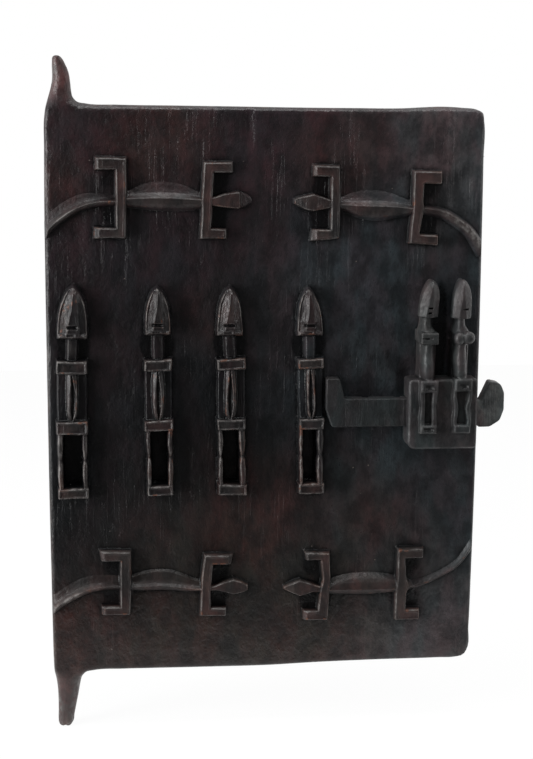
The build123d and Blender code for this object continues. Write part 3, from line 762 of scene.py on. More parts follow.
def relief_piece(name, low, high, shape, raised_from, rubbed):
    """A carved form on the plank's face, as a closed body on a fine grid."""
    x, z = grid_over(low, high, RELIEF_STEP)
    wander_x = HAND_WANDER * noise(x / 13, z / 17, 11)
    wander_z = HAND_WANDER * noise(x / 17, z / 13, 12)
    edge = np.minimum(x - along(PLANK_LEFT, z), along(PLANK_RIGHT, z) - x)
    height = smooth_min(shape(x + wander_x, z + wander_z), (edge - 0.9) * 4, 0.8)
    height = blurred(np.maximum(height, UNDER), 1)
    used, quads = grid_quads(np.abs(height - UNDER) > 0.02)
    # proud is above zero on edges, which rub, and below zero in concave corners, which the material
    # darkens as painted shade
    proud = np.clip((height - blurred(height, NEAR_BLUR)) / 0.7, -1, 1)
    wear = np.where(proud > 0, proud * along(rubbed, height), proud)
    # sunk darkens the recessed panels of the high forms as painted shade
    sunk = np.clip((height - blurred(height, WIDE_BLUR)) / 1.1, -0.72, 0) \
        * smooth_step(6.0, 9.0, height)
    height = height + FINE_GRAIN * noise(x / 2.2, z / 5, 13) * (height > 1)
    y = FACE_Y - ground(x, z) * smooth_step(-1, 5, edge) + edge_fall(edge) - height
    # painted highlights on the forms beside the plank's edges
    wear = wear + patches(x, z, PAINTED_HIGHLIGHT_PLACES, 1.2, 0.4) * smooth_step(3.5, 6.5, height)
    # the last term darkens any place below the ground as painted shade
    wear = np.minimum(wear, 1.0) + sunk - smooth_step(-1.0, -3.0, height)
    raised = smooth_step(*raised_from, height)
    vertices = np.column_stack([x[used], y[used], z[used]])
    piece = make_object(name, vertices, quads, wear=wear[used], raised=raised[used])
    close_underneath(piece)
    return piece


def close_underneath(piece):
    """Runs a grid's border down into the plank and closes it there."""
    with edited(piece.data) as form:
        border = [edge for edge in form.edges if edge.is_boundary]
        for made in bmesh.ops.extrude_edge_only(form, edges=border)["geom"]:
            if isinstance(made, bmesh.types.BMVert):
                made.co.y = (FACE_Y + FLOOR_DEPTH) * METRES
        rim = [edge for edge in form.edges if edge.is_boundary]
        bmesh.ops.triangle_fill(form, edges=rim, use_dissolve=False, use_beauty=False)
        bmesh.ops.recalc_face_normals(form, faces=form.faces)
    piece.data.shade_smooth()


def block(across, z, part, relief, seed=0):
    """A squared block of a figure, not quite even, with a thin rim round a hollow front."""
    top, bottom, half, skew = part
    left = half + across + 0.4 * wavering(z, 9, (seed, 14))
    right = half - across + 0.4 * wavering(z, 9, (seed + 3, 15))
    under = z - bottom - 0.6 * skew * across / half
    over = top - z + skew * across / half
    distance = np.minimum(np.minimum(left, right), np.minimum(under, over))
    worn = 0.5 + 0.5 * noise(across / 7, z / 6 + seed, 18)
    panel = (1.3 + 0.8 * worn) * smooth_step(2.2, 3.6, distance)
    return carved(distance, relief, 1.5) - panel


def leg(across, z, side, spec, seed):
    """One leg, its thigh and calf swelling about a notched knee."""
    low, high = spec["feet"][0], spec["hips"][1]
    share = (z - low) / (high - low)
    gap_middle, gap = spec["gap"]
    inner = gap + side * gap_middle
    outer = (spec["feet"][2] + spec["hips"][2]) / 2 - 0.9
    half = (outer - inner) / 2 * along(LEG_SWELL, share) + 0.2
    middle = side * (outer + inner) / 2 + 0.4 * wavering(z, 12, (seed, 16))
    from_middle = (across - middle) / half
    body = along(LEG_RELIEF, share) + 0.2 - 4.6 * np.abs(from_middle + 0.1) ** 2
    body = smooth_min(body, (half - np.abs(across - middle)) * 9, 1.2)
    return within(share, -0.04, 1.04, body)


def torso(across, z, spec):
    """The body's flat slab."""
    low, high = spec["hips"][0], spec["shoulders"][1]
    half = (spec["shoulders"][2] + spec["hips"][2]) / 2 - 1.2
    inner = half - np.abs(across)
    flat = carved(inner, 7.2, 1.0, slope=0.7) - 0.35 * smooth_step(1.2, 2.4, inner)
    return within(z, low - 2, high + 2, flat)


def spindle(across, z, spec):
    """The body's ridge: a rounded bar with a dark hollow facet down its front."""
    low, high = spec["hips"][0], spec["shoulders"][1]
    share = (z - low) / (high - low)
    shift, top, middle, bottom, facet_right = spec["ridge"]
    across = across - shift
    half = along((
        (-0.02, bottom - 3.0), (0.03, bottom - 1.2), (0.1, bottom),
        (0.3, (bottom + middle) / 2 + 0.2), (0.5, middle), (0.8, (middle + top) / 2 + 0.1),
        (1, top)), share)
    facet, crest = along(FACET_HALF, share), along(RIDGE_CREST, share)
    from_facet = across - facet_right * along(FACET_SHIFT, share)
    slope = np.where(from_facet < 0, 0.62, 0.5)
    side = crest - np.maximum(np.abs(from_facet) - facet, 0) * slope
    hollow = 3.2 * np.sqrt(np.clip(1 - (from_facet / facet) ** 2, 0, 1))
    body = np.where(np.abs(from_facet) < facet, crest - hollow, side)
    body = smooth_min(body, 6.5 + (half - np.abs(across)) * 5, 1.2)
    return within(share, -0.03, 1.03, body)


def neck(across, z, spec):
    """A rounded ridge."""
    ridge = smooth_min(9.2 - 0.05 * (across + 1.5) ** 2, (6.3 - np.abs(across)) * 5, 1.2)
    return within(z, spec["shoulders"][0] - 2, spec["head"][1] + 4, ridge)


def head_front(across, z, spec):
    """A bullet-shaped head: a thin rim, two long petals, a widening nose, a notch and a mouth."""
    crown, chin, widest = spec["head"]
    place = (z - chin) / (crown - chin)
    half, crest = along(HEAD_HALF, place) * widest, along(HEAD_CREST, place)
    nose = along(NOSE_HALF, place) * widest / NOSE_FOR
    reach = np.abs(across)
    from_nose = np.abs(across - along(NOSE_RIGHT, place) * widest / NOSE_FOR)
    share = np.clip((from_nose - nose) / np.maximum(half - 1.7 - nose, 0.6), 0, 1)
    open_part = window(place, 0.05, 0.13, 0.88, 0.97)
    petal = crest - (1.3 * smooth_step(0, 0.12, share) + 3.7 * share) * open_part
    rim = (crest - 3.4) * open_part + (crest - 0.6) * (1 - open_part)
    rim = rim - 1.1 * np.abs(half - reach - 1.7)
    petal = np.where(half - reach < 3.2, np.maximum(petal, rim), petal)
    bridge = crest - 0.4 * (1 - (from_nose / nose) ** 4) * open_part
    notch = 2.6 * (reach < 5.3) * window(place, 0.195, 0.215, 0.25, 0.27)
    mouth = 1.3 * smooth_step(4.4, 3.2, np.abs(across + 1.6)) \
        * window(place, 0.05, 0.08, 0.10, 0.13)
    front = np.where(from_nose < nose, bridge, petal) - notch - mouth
    ends = np.minimum(z - chin, half - reach)
    bevel = crest - 5.4 + (ends - 0.9) * 1.9
    height = smooth_min(smooth_min(front, bevel, 0.5), ends * 9.0, 0.8)
    return within(place, -0.03, 1.01, height)


def blended(forms, reach):
    height = np.full(forms[0].shape, UNDER)
    for form in forms:
        height = smooth_max(height, form, reach)
    return height


def figure_shape(spec, seed):
    def shape(x, z):
        across = figure_across(x, z, spec)
        height = blended((
            block(across, z, spec["feet"], 14.6, seed),
            leg(across, z, -1, spec, seed), leg(across, z, 1, spec, seed + 1),
            block(across, z, spec["hips"], 15.0, seed + 2),
            torso(across, z, spec), spindle(across, z, spec),
            block(across, z, spec["shoulders"], 15.2, seed + 3),
            neck(across, z, spec), head_front(across, z, spec)), 0.6)
        middle, half = spec["gap"]
        ends = np.minimum(z - spec["feet"][0], spec["hips"][1] - z)
        gap = np.minimum(half - np.abs(across - middle), ends)
        opened = np.minimum(height, np.maximum(-LEG_GAP_DEPTH, height - gap * 9))
        return np.where(gap > 0, opened, height)
    return shape


def eased(table, count=60, passes=14):
    """A table's rows at an even spacing along its first two columns, and softened."""
    rows = np.array(table, float)
    reached = travelled(rows[:, :2])
    stops = np.linspace(0, reached[-1], count)
    rows = np.column_stack([np.interp(stops, reached, column) for column in rows.T])
    for _ in range(passes):
        rows[1:-1] = (rows[:-2] + 2 * rows[1:-1] + rows[2:]) / 4
    return rows


def ribbon(x, z, table, profile_above, profile_below, crest):
    """A form along a ridge line, with its own slope above and below the ridge."""
    rows = eased(table)
    distance, side, place = nearest(x, z, rows[:, :2], closed=False)
    reached = travelled(rows[:, :2])
    reached /= reached[-1]
    leftwards = rows[-1, 0] < rows[0, 0]
    above = (side < 0) if leftwards else (side > 0)
    width_above, width_below = (np.interp(place, reached, rows[:, column]) for column in (2, 3))
    t = distance / np.where(above, width_above, width_below)
    share = np.where(above, along(profile_above, t), along(profile_below, t))
    return crest * share - np.maximum(t - 1, 0) * 9


def lizard_head(x, z, spec):
    """A diamond with a rim, falling towards its tip."""
    tip_x, way, fall, step = spec["tip"]
    beyond = np.clip((x - tip_x) * way, 0, FAR_INSIDE)
    inner = depth_within(x, z, spec["head"])
    head = carved(inner, LIZARD_RELIEF - 0.8, 1.8, steep=9.0, slope=0.8)
    head = head - 1.1 * smooth_step(1.8, 3.2, inner) - beyond * fall
    return head - step * smooth_step(0, 1.2, beyond)


def lizard_bar(x, z, outline, toe):
    """A bracket of two legs with a rim, bevelled at its toes."""
    toe_x, way, length = toe
    distance = depth_within(x, z, outline) + BAR_GROWTH
    form = carved(distance, LIZARD_RELIEF, 2.0, steep=8.0, slope=0.9)
    form = form - 1.3 * smooth_step(2.4, 4.0, distance)
    return smooth_min(form, LIZARD_RELIEF - (length - (x - toe_x) * way) * 1.05, 0.5)


def lizard_shape(spec):
    def shape(x, z):
        body = ribbon(x, z, spec["ridge"], *spec["body_sides"])
        tail = ribbon(x, z, spec["tail"], *spec["tail_sides"])
        bars = [lizard_bar(x, z, *bar) for bar in zip(spec["bars"], spec["toes"])]
        return blended([body, tail, lizard_head(x, z, spec)] + bars, 0.7)
    return shape


# ---- solid forms of the lock
LOCK_VOXEL = 0.7
BOLT_VOXEL = 0.85
SMALL_VOXEL = 0.55
WEAR_REACH, FULL_WEAR = 12, 0.35       # passes, and how proud a fully rubbed edge stands
LOCK_BACK = -13.0             # the plank's face, which the lock stands on
LOCK_BACK_LIMIT = -13.02
CASE_FRONT = -41.0
FIGURE_FRONT = -49.0
FIGURE_TOP_FROM = 378         # above this height only figures stand
HEAD_BACK = -20.5
HEAD_WIDTH = 20.6
KNEE = 347.0
PINS_X = (375.4, 409.0)       # where the tumbler pins run behind the figures
GROOVE_FRONT, GROOVE_BACK = -20.5, -12.0
# Half width, bottom and top of a pin's groove, the groove of its head, and its pocket in the bolt
PIN_GROOVES = ((3.75, 355.5, 438.3), (5.5, 386.8, 438.3))
BOLT_POCKET = (3.75, 336.8, 357.0)
BOLT_CHANNEL = ((345, -30.6, 325.0), (438, GROOVE_BACK, 356.1))
BOLT_TRAVEL = 62.0
BOLT_Y = (-13.8, -29.8)
TENON_HALF, TENON_END, TENON_HEIGHT = 6.0, 26.8, 12.0
TENONS_FROM = (305.0, 359.5)
# The two figures on the case. Where the middle of each part lies, and the head's chin, height and
# lean. Rows along a leg are the height, how far out, and half width
LOCK_FIGURES = (
    dict(
        female=False, feet=374.8, hips=375, torso=373.7, chest=374.1, neck=372.4,
        head=(373, 441.6, 37, 4.6), hips_z=(364, 376.8),
        legs=(
            (328, 6.2, 2.6), (336, 6.4, 2.9), (344, 5.9, 2.6), (348, 5.6, 2.3), (354, 6, 2.9),
            (361, 6.6, 3), (367, 6.4, 2.8),
        ),
    ),
    dict(
        female=True, feet=410.2, hips=410.4, torso=407.6, chest=409, neck=407.6,
        head=(407.3, 440, 39.4, 1.6), hips_z=(364.8, 378.4),
        legs=(
            (328, 7.4, 2.2), (334, 7.6, 2.3), (340, 6.8, 2.6), (345.5, 6, 2.7), (349, 6.3, 2.7),
            (356, 7.7, 2.4), (362, 8.2, 2), (367, 7.8, 2),
        ),
    ),
)
# Along a head's height, 0 to 1: shares of its width and of its depth
LOCK_HEAD = (
    (0, 0.95, 0.94), (0.03, 0.99, 0.96), (0.12, 1, 0.97), (0.2, 1, 0.98), (0.35, 0.99, 1),
    (0.5, 0.96, 1), (0.62, 0.9, 0.98), (0.74, 0.79, 0.95), (0.85, 0.62, 0.9),
    (0.93, 0.44, 0.82), (0.98, 0.26, 0.76), (1, 0.1, 0.72),
)
# Small hollows cut into the figures' blocks and faces: left, bottom, right, top and depth's end
LOCK_HOLLOWS = (
    (370.4, 366.8, 379.6, 372.4, -47.8), (369.6, 323.4, 380.2, 327.6, -47.6),
    (366.4, 419.0, 377.4, 421.4, -47.5), (405.6, 367.8, 415.4, 373.6, -48.0),
    (371.6, 450.4, 376.4, 452.4, -45.4), (407.4, 449.0, 413.4, 450.8, -45.4),
    (371.4, 445.2, 375.8, 447.4, -45.6),
)
# Corners of the case and the bolt, and how round each is
CASE_CORNERS = ((354.8, 303.2, 8.5), (427.6, 303.2, 4), (427.6, 376.6, 3), (354.8, 376.6, 3))
BOLT_CORNERS = (
    (277, 325.8, 4), (430, 325.8, 0.5), (432, 323.8, 1), (444, 323.8, 3), (454.6, 330.4, 8),
    (458.5, 342, 8), (458.5, 360, 8), (454, 370, 7), (442.6, 372.2, 3), (433, 350.6, 2),
    (427, 354.6, 2), (290.4, 355.5, 1.6), (284.8, 376.8, 1.4), (270.8, 376.8, 1.4),
    (270.8, 344.6, 5),
)


def rounded_outline(corners):
    """A closed outline with each corner turned on its own radius."""
    points = []
    count = len(corners)
    for i, (x, z, radius) in enumerate(corners):
        here = np.array((x, z))
        before, after = np.array(corners[i - 1][:2]), np.array(corners[(i + 1) % count][:2])
        back, forth = before - here, after - here
        back, forth = back / np.linalg.norm(back), forth / np.linalg.norm(forth)
        half_turn = np.arccos(np.clip(np.dot(back, forth), -1, 1)) / 2
        reach = radius / np.tan(half_turn)
        centre = here + (back + forth) / np.linalg.norm(back + forth) * radius / np.sin(half_turn)
        a, b = here + back * reach - centre, here + forth * reach - centre
        start, turn = np.arctan2(a[1], a[0]), np.arctan2(a[0] * b[1] - a[1] * b[0], np.dot(a, b))
        for t in np.linspace(0, 1, 7):
            angle = start + turn * t
            points.append(centre + radius * np.array((np.cos(angle), np.sin(angle))))
    return np.array(points)


def inset(outline, amount):
    """The outline moved inwards. It runs counter-clockwise."""
    edge = np.roll(outline, -1, 0) - outline
    edge /= np.maximum(np.linalg.norm(edge, axis=1), 1e-9)[:, None]
    normal = np.column_stack([-edge[:, 1], edge[:, 0]])
    joint = normal + np.roll(normal, 1, 0)
    joint /= np.maximum(np.sum(joint * joint, axis=1), 0.5)[:, None] / 2
    return outline + joint * amount


def loft(rings):
    """A closed shell through rings of equally many points."""
    count = len(rings[0])
    vertices = np.vstack(rings)
    faces = []
    for level in range(len(rings) - 1):
        for i in range(count):
            j = (i + 1) % count
            a, b = level * count, (level + 1) * count
            faces.append((a + i, a + j, b + j, b + i))
    last = (len(rings) - 1) * count
    faces.append(tuple(range(count))[::-1])
    faces.append(tuple(last + i for i in range(count)))
    return vertices, faces


def slab(outline, y_back, y_front, bevel, back_bevel=0.0):
    """An outline of the door's plane given thickness, with bevelled rims."""
    levels = [(0.0, y_back - back_bevel), (0.0, y_front + bevel), (bevel, y_front)]
    if back_bevel:
        levels.insert(0, (back_bevel, y_back))
    rings = []
    for amount, y in levels:
        shape = inset(outline, amount) if amount else outline
        rings.append(np.column_stack([shape[:, 0], np.full(len(shape), y), shape[:, 1]]))
    return loft(rings)


def box_shell(low, high):
    (x0, y0, z0), (x1, y1, z1) = low, high
    return slab(np.array([(x0, z0), (x1, z0), (x1, z1), (x0, z1)], float), y1, y0, 0.0)


def squared_block(middle, half, bottom, top, y_back, y_front, bevel, tilt=0.0):
    corners = np.array([
        (middle - half, bottom + tilt), (middle + half, bottom - tilt),
        (middle + half, top - tilt * 0.6), (middle - half, top + tilt * 0.6)])
    return slab(corners, y_back, y_front, bevel)


def column(levels, power=0.75, points=36):
    """An upright form: each level is (z, x of its middle, half width, y at its back and front)."""
    turn = np.linspace(0, 2 * np.pi, points, endpoint=False)
    cos, sin = (np.sign(wave) * np.abs(wave) ** power for wave in (np.cos(turn), np.sin(turn)))
    rings = []
    for z, middle, half, y_back, y_front in levels:
        y = (y_back + y_front) / 2 + (y_back - y_front) / 2 * sin
        rings.append(np.column_stack([middle + half * cos, y, np.full(points, z)]))
    return loft(rings)


def lock_head(middle, chin, height, lean):
    """A small bullet-shaped head whose face is two planes that meet in the nose."""
    rings = []
    depth = FIGURE_FRONT - HEAD_BACK
    for place, wide, deep in LOCK_HEAD:
        half = HEAD_WIDTH / 2 * wide
        nose = HEAD_BACK + depth * deep
        cheek = HEAD_BACK + depth * deep * 0.80
        side = HEAD_BACK + depth * (0.18 + 0.25 * deep)
        x, z = middle + lean * place ** 1.8, chin + height * place
        bridge = half * max(0.42 - 0.6 * place, 0.1)
        outward = (
            (half * 0.62, HEAD_BACK), (half * 0.92, side), (half, (side + cheek) / 2),
            (half * 0.95, cheek), (half * 0.55, (cheek + nose * 1.2) / 2.2), (bridge, nose))
        ring = [(x - out, y, z) for out, y in outward]
        rings.append(np.array(ring + [(x + out, y, z) for out, y in reversed(outward)]))
    return loft(rings)


def ball(centre, radius, squeeze=(1, 1, 1)):
    levels = []
    for t in np.linspace(-0.98, 0.98, 13):
        half = radius * np.sqrt(1 - t * t)
        levels.append((centre[2] + radius * squeeze[2] * t, centre[0], half * squeeze[0],
                       centre[1] + half * squeeze[1], centre[1] - half * squeeze[1]))
    return column(levels, power=1.0, points=28)


def small_leg(middle, side, rows):
    """A bent leg on the case: the thigh swells outwards and the knee is pinched."""
    front, back = FIGURE_FRONT + 2.2, CASE_FRONT + 1.5
    levels = []
    for z, out, half in rows:
        pinched = 1.4 * max(0.0, 1 - abs(z - KNEE) / 5)
        levels.append((z, middle + side * out, half, back, front + pinched))
    return column(levels, power=0.85)


def standing_figure(spec):
    """One of the two figures on the lock case, as shells that overlap."""
    torso, chest, neck, back = spec["torso"], spec["chest"], spec["neck"], LOCK_BACK
    waist = 6.4 if spec["female"] else 6.6
    bottom, top = spec["hips_z"]
    shells = [
        squared_block(spec["feet"], 8.8, 320.8, 330.0, CASE_FRONT + 2, FIGURE_FRONT + 0.4, 2.0,
                      0.2),
        small_leg(spec["feet"], -1, spec["legs"]), small_leg(spec["feet"], 1, spec["legs"]),
        squared_block(spec["hips"], 9.5, bottom, top, CASE_FRONT + 4, FIGURE_FRONT, 2.2, -0.3),
        squared_block(torso + 1.6, 8.6, 370.0, 416.0, back, -32.5, 1.6),
        column((
            (376, torso + 1.0, waist - 1.4, -20, -45.5), (384, torso + 0.6, waist, -20, -47.4),
            (393, torso, waist + 0.3, -20, -48.0), (402, torso, waist - 0.2, -20, -46.6),
            (410, torso + 0.4, waist - 1.0, -20, -45.4),
            (417, chest, waist - 0.6, -20, -45.0)), power=0.72),
        column((
            (424, chest, 8.8, back, -46.0), (428.5, (chest + neck) / 2, 7.4, back, -44.0),
            (432, neck, 5.4, back, -42.0), (437, neck, 4.9, back, -41.0),
            (446, neck, 5.0, back, -41.0)), power=0.7),
        column(((440, neck + 1.5, 4.6, back, -30), (462, neck + 3.5, 4.4, back, -30)), power=0.6),
        lock_head(*spec["head"]),
    ]
    if spec["female"]:
        return shells + [
            column((
                (413, chest, 7.6, back, -43), (418, chest, 8.2, back, -46.0),
                (425, chest, 7.8, back, -45.0)), power=0.6),
            ball((404.4, -46.6, 420.0), 6.2, (0.86, 0.9, 1.1)),
            ball((414.2, -46.6, 420.6), 6.8, (1, 0.96, 1)),
        ]
    return shells + [squared_block(chest, 9.2, 414.0, 426.0, back, FIGURE_FRONT + 0.4, 1.4, 0.3)]


def applied(piece):
    """Turns a piece's modifiers into its mesh."""
    shown = piece.evaluated_get(bpy.context.evaluated_depsgraph_get())
    mesh = bpy.data.meshes.new_from_object(shown)
    piece.modifiers.clear()
    old = piece.data
    piece.data = mesh
    bpy.data.meshes.remove(old)


def points_and_edges(mesh):
    points = np.empty(len(mesh.vertices) * 3, np.float32)
    mesh.vertices.foreach_get("co", points)
    edges = np.empty(len(mesh.edges) * 2, np.int32)
    mesh.edges.foreach_get("vertices", edges)
    return points.reshape(-1, 3).astype(float) / METRES, edges.reshape(-1, 2)


def neighbour_mean(points, edges):
    count = np.bincount(edges.ravel(), minlength=len(points))
    total = np.empty(points.shape)
    for axis in range(points.shape[1]):
        total[:, axis] = np.bincount(edges[:, 0], points[edges[:, 1], axis], len(points)) \
            + np.bincount(edges[:, 1], points[edges[:, 0], axis], len(points))
    return total / np.maximum(count, 1)[:, None]


def smoothed(points, edges, passes, strength=0.5):
    for _ in range(passes):
        points = points + strength * (neighbour_mean(points, edges) - points)
    return points


def vertex_normals(mesh):
    normals = np.empty(len(mesh.vertices) * 3, np.float32)
    mesh.vertex_normals.foreach_get("vector", normals)
    return normals.reshape(-1, 3).astype(float)


def surface_noise(points, scale, seed):
    """Smooth noise over a solid form."""
    x, y, z = points.T / scale
    pairs = ((x, z), (y + 5.3, z + 1.7), (x + 2.1, y - 3.9))
    return sum(noise(a, b, seed + index) for index, (a, b) in enumerate(pairs)) / 2


def hewn(name, shells, voxel, passes=3, rough=0.12, y_limit=None):
    """Fuses overlapping shells, softens their edges and roughens them a little."""
    vertices, faces = [], []
    for shell_vertices, shell_faces in shells:
        start = len(vertices)
        vertices.extend(shell_vertices.tolist())
        faces.extend([tuple(start + i for i in face) for face in shell_faces])
    piece = make_object(name, vertices, faces)
    face_outwards(piece)
    modifier = piece.modifiers.new("fuse", "REMESH")
    modifier.mode = "VOXEL"
    modifier.voxel_size = voxel * METRES
    applied(piece)
    points, edges = points_and_edges(piece.data)
    points = smoothed(points, edges, passes)
    uneven = surface_noise(points, 6.0, 21) + surface_noise(points, 19.0, 25) * 1.4
    points = points + vertex_normals(piece.data) * (rough * uneven)[:, None]
    if y_limit is not None:
        points[:, 1] = np.minimum(points[:, 1], y_limit)
    piece.data.vertices.foreach_set("co", (points * METRES).astype(np.float32).ravel())
    piece.data.update()
    piece.data.shade_smooth()
    return piece


def mark_wear(piece, held=None):
    """Marks rubbed edges, whose palest part is a painted highlight, and hollows, which the material
    darkens as painted shade. Held tells how much hands rub each point.
    """
    points, edges = points_and_edges(piece.data)
    softened = smoothed(points, edges, WEAR_REACH)
    proud = np.sum((points - softened) * vertex_normals(piece.data), axis=1)
    proud = smoothed(proud[:, None], edges, 1)[:, 0]
    wear = np.clip(proud / FULL_WEAR, -1, 1)
    if held is not None:
        wear = np.where(wear > 0, wear * held(points), wear)
    store(piece.data, "wear", wear)


def cut(piece, shells):
    """Takes shells away from a piece."""
    for index, (vertices, faces) in enumerate(shells):
        tool = make_object(f"cutter_{index}", vertices, faces)
        face_outwards(tool)
        modifier = piece.modifiers.new("cut", "BOOLEAN")
        modifier.operation = "DIFFERENCE"
        modifier.solver = "MANIFOLD"
        modifier.object = tool
        applied(piece)
        discard(tool)
    piece.data.shade_smooth()


def added(piece, other):
    """Puts another piece's mesh into a piece."""
    with edited(piece.data) as form:
        form.from_mesh(other.data)
    discard(other)
    piece.data.shade_smooth()


def node_shell(name, grow=0.0):
    """A CAD node's box as a shell, a little larger all round."""
    low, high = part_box(name)
    low, high = np.array(low) / METRES - grow, np.array(high) / METRES + grow
    return box_shell(low, high)


def groove(middle, half, bottom, top):
    """A cutter for the back of the case or the bolt, as deep as a tumbler pin needs."""
    return box_shell((middle - half, GROOVE_FRONT, bottom), (middle + half, GROOVE_BACK, top))


def lock_cutters():
    """The figures' hollows, and in the case's back the bolt's channel and the pins' grooves."""
    cutters = [box_shell((left, FIGURE_FRONT - 2, bottom), (right, end, top))
               for left, bottom, right, top, end in LOCK_HOLLOWS]
    cutters.append(box_shell(*BOLT_CHANNEL))
    for middle in PINS_X:
        cutters += [groove(middle, *size) for size in PIN_GROOVES]
    return cutters


def figures_only(points):
    """How much hands rub each point of the case: its figures much, its own edges little."""
    on_figure = (points[:, 1] < CASE_FRONT - 1) | (points[:, 2] > FIGURE_TOP_FROM)
    return np.where(on_figure, 1.0, 0.25)


def make_lock_case():
    shells = [slab(rounded_outline(CASE_CORNERS), LOCK_BACK, CASE_FRONT, 2.2)]
    for spec in LOCK_FIGURES:
        shells += standing_figure(spec)
    case = hewn("lock_case_and_figures", shells, LOCK_VOXEL, passes=4, y_limit=LOCK_BACK_LIMIT)
    cut(case, lock_cutters())
    middle = sum(PINS_X) / 2
    tenons = [squared_block(middle, TENON_HALF, low, low + TENON_HEIGHT, LOCK_BACK, TENON_END, 0.0)
              for low in TENONS_FROM]
    tails = hewn("case_tenons", tenons, LOCK_VOXEL, passes=2, rough=0.1)
    cut(tails, [node_shell("case_wedge_lower", 0.1), node_shell("case_wedge_upper", 0.1)])
    added(case, tails)
    mark_wear(case, held=figures_only)
    return case


def make_bolt():
    bar = slab(rounded_outline(BOLT_CORNERS), *BOLT_Y, 0.7, 0.7)
    bolt = hewn("sliding_bolt", [bar], BOLT_VOXEL, passes=3, rough=0.14)
    cut(bolt, [groove(middle - BOLT_TRAVEL, *BOLT_POCKET) for middle in PINS_X])
    mark_wear(bolt)
    return bolt


def worked_copy(node, name):
    """A CAD node's own form, remeshed, softened and roughened, with rubbed edges."""
    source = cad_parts[node].data
    points, _ = points_and_edges(source)
    faces = [tuple(polygon.vertices) for polygon in source.polygons]
    copy = hewn(name, [(points, faces)], SMALL_VOXEL, passes=2, rough=0.08)
    mark_wear(copy)
    return copy


# ---- node trees
WHITE = (1, 1, 1, 1)


class Nodes:
    """The node tree of a material or a world, with short calls to add and join its nodes."""

    def __init__(self, owner, coordinates=None):
        owner.use_nodes = True
        self.tree = owner.node_tree
        if coordinates:
            self.place = self.add("TexCoord").outputs[coordinates]

    def put(self, node, socket, value):
        """Sets a socket to a number or colour, or joins an output to it."""
        if isinstance(value, bpy.types.NodeSocket):
            self.tree.links.new(value, node.inputs[socket])
        else:
            node.inputs[socket].default_value = value

    def add(self, kind, inputs=(), **settings):
        """A new node, with its settings and with pairs of a socket and what goes into it."""
        node = self.tree.nodes.new("ShaderNode" + kind)
        for key, value in settings.items():
            setattr(node, key, value)
        for socket, value in inputs:
            self.put(node, socket, value)
        return node

    def attribute(self, mark):
        return self.add("Attribute", attribute_name=mark).outputs["Fac"]

    def stretched(self, scale):
        return self.add("Mapping", [("Vector", self.place), ("Scale", scale)]).outputs["Vector"]

    def noise(self, scale, detail=3.0, roughness=0.5):
        inputs = [("Vector", self.stretched(scale)), ("Scale", 1.0), ("Detail", detail),
                  ("Roughness", roughness)]
        return self.add("TexNoise", inputs).outputs["Fac"]

    def ranged(self, value, low, high, out_low=0.0, out_high=1.0):
        """Eases a value from one range to another."""
        inputs = [("Value", value), ("From Min", low), ("From Max", high), ("To Min", out_low),
                  ("To Max", out_high)]
        return self.add("MapRange", inputs, interpolation_type="SMOOTHSTEP").outputs["Result"]

    def math(self, operation, a, b):
        return self.add("Math", [(0, a), (1, b)], operation=operation).outputs["Value"]

    def times(self, a, b):
        return self.math("MULTIPLY", a, b)

    def vector_math(self, operation, a, b):
        return self.add("VectorMath", [(0, a), (1, b)], operation=operation).outputs["Value"]

    def mixed(self, share, a, b, blend="MIX"):
        """One of two colours, or a share of both."""
        inputs = [(0, share), (6, a), (7, b)]
        return self.add("Mix", inputs, data_type="RGBA", blend_type=blend).outputs[2]

    def tinted(self, share, colour, tint):
        return self.mixed(share, colour, tint, "MULTIPLY")

    def chosen(self, share, a, b):
        """The same for two numbers."""
        return self.add("Mix", [(0, share), (2, a), (3, b)], data_type="FLOAT").outputs[0]

    def spot(self, centre, radius):
        """1 at a place on the object, fading to 0 at a distance from it, in metres."""
        distance = self.vector_math("DISTANCE", self.place, centre)
        return self.ranged(distance, radius * 0.25, radius, 1.0, 0.0)


# ---- wood
# Pairs of tones. The ground's and the relief's mix in clouds, and a rubbed edge's in patches
PLANK_GROUND = ((0.0046, 0.0048, 0.0058, 1), (0.0092, 0.0082, 0.0092, 1))
PLANK_RELIEF = ((0.015, 0.0120, 0.0122, 1), (0.029, 0.0205, 0.0185, 1))
LIZARD_TONE = ((0.018, 0.0130, 0.0122, 1), (0.036, 0.0228, 0.0198, 1))
PLUM, RED_BROWN = (0.0215, 0.0135, 0.0155, 1), (0.027, 0.0130, 0.0115, 1)
UMBER, PIVOT_BROWN = (0.0215, 0.0150, 0.0118, 1), (0.078, 0.044, 0.041, 1)
SLATE, ASH = (0.0265, 0.0300, 0.0330, 1), (0.048, 0.0440, 0.0450, 1)
KNOB_GREY = (0.092, 0.091, 0.089, 1)
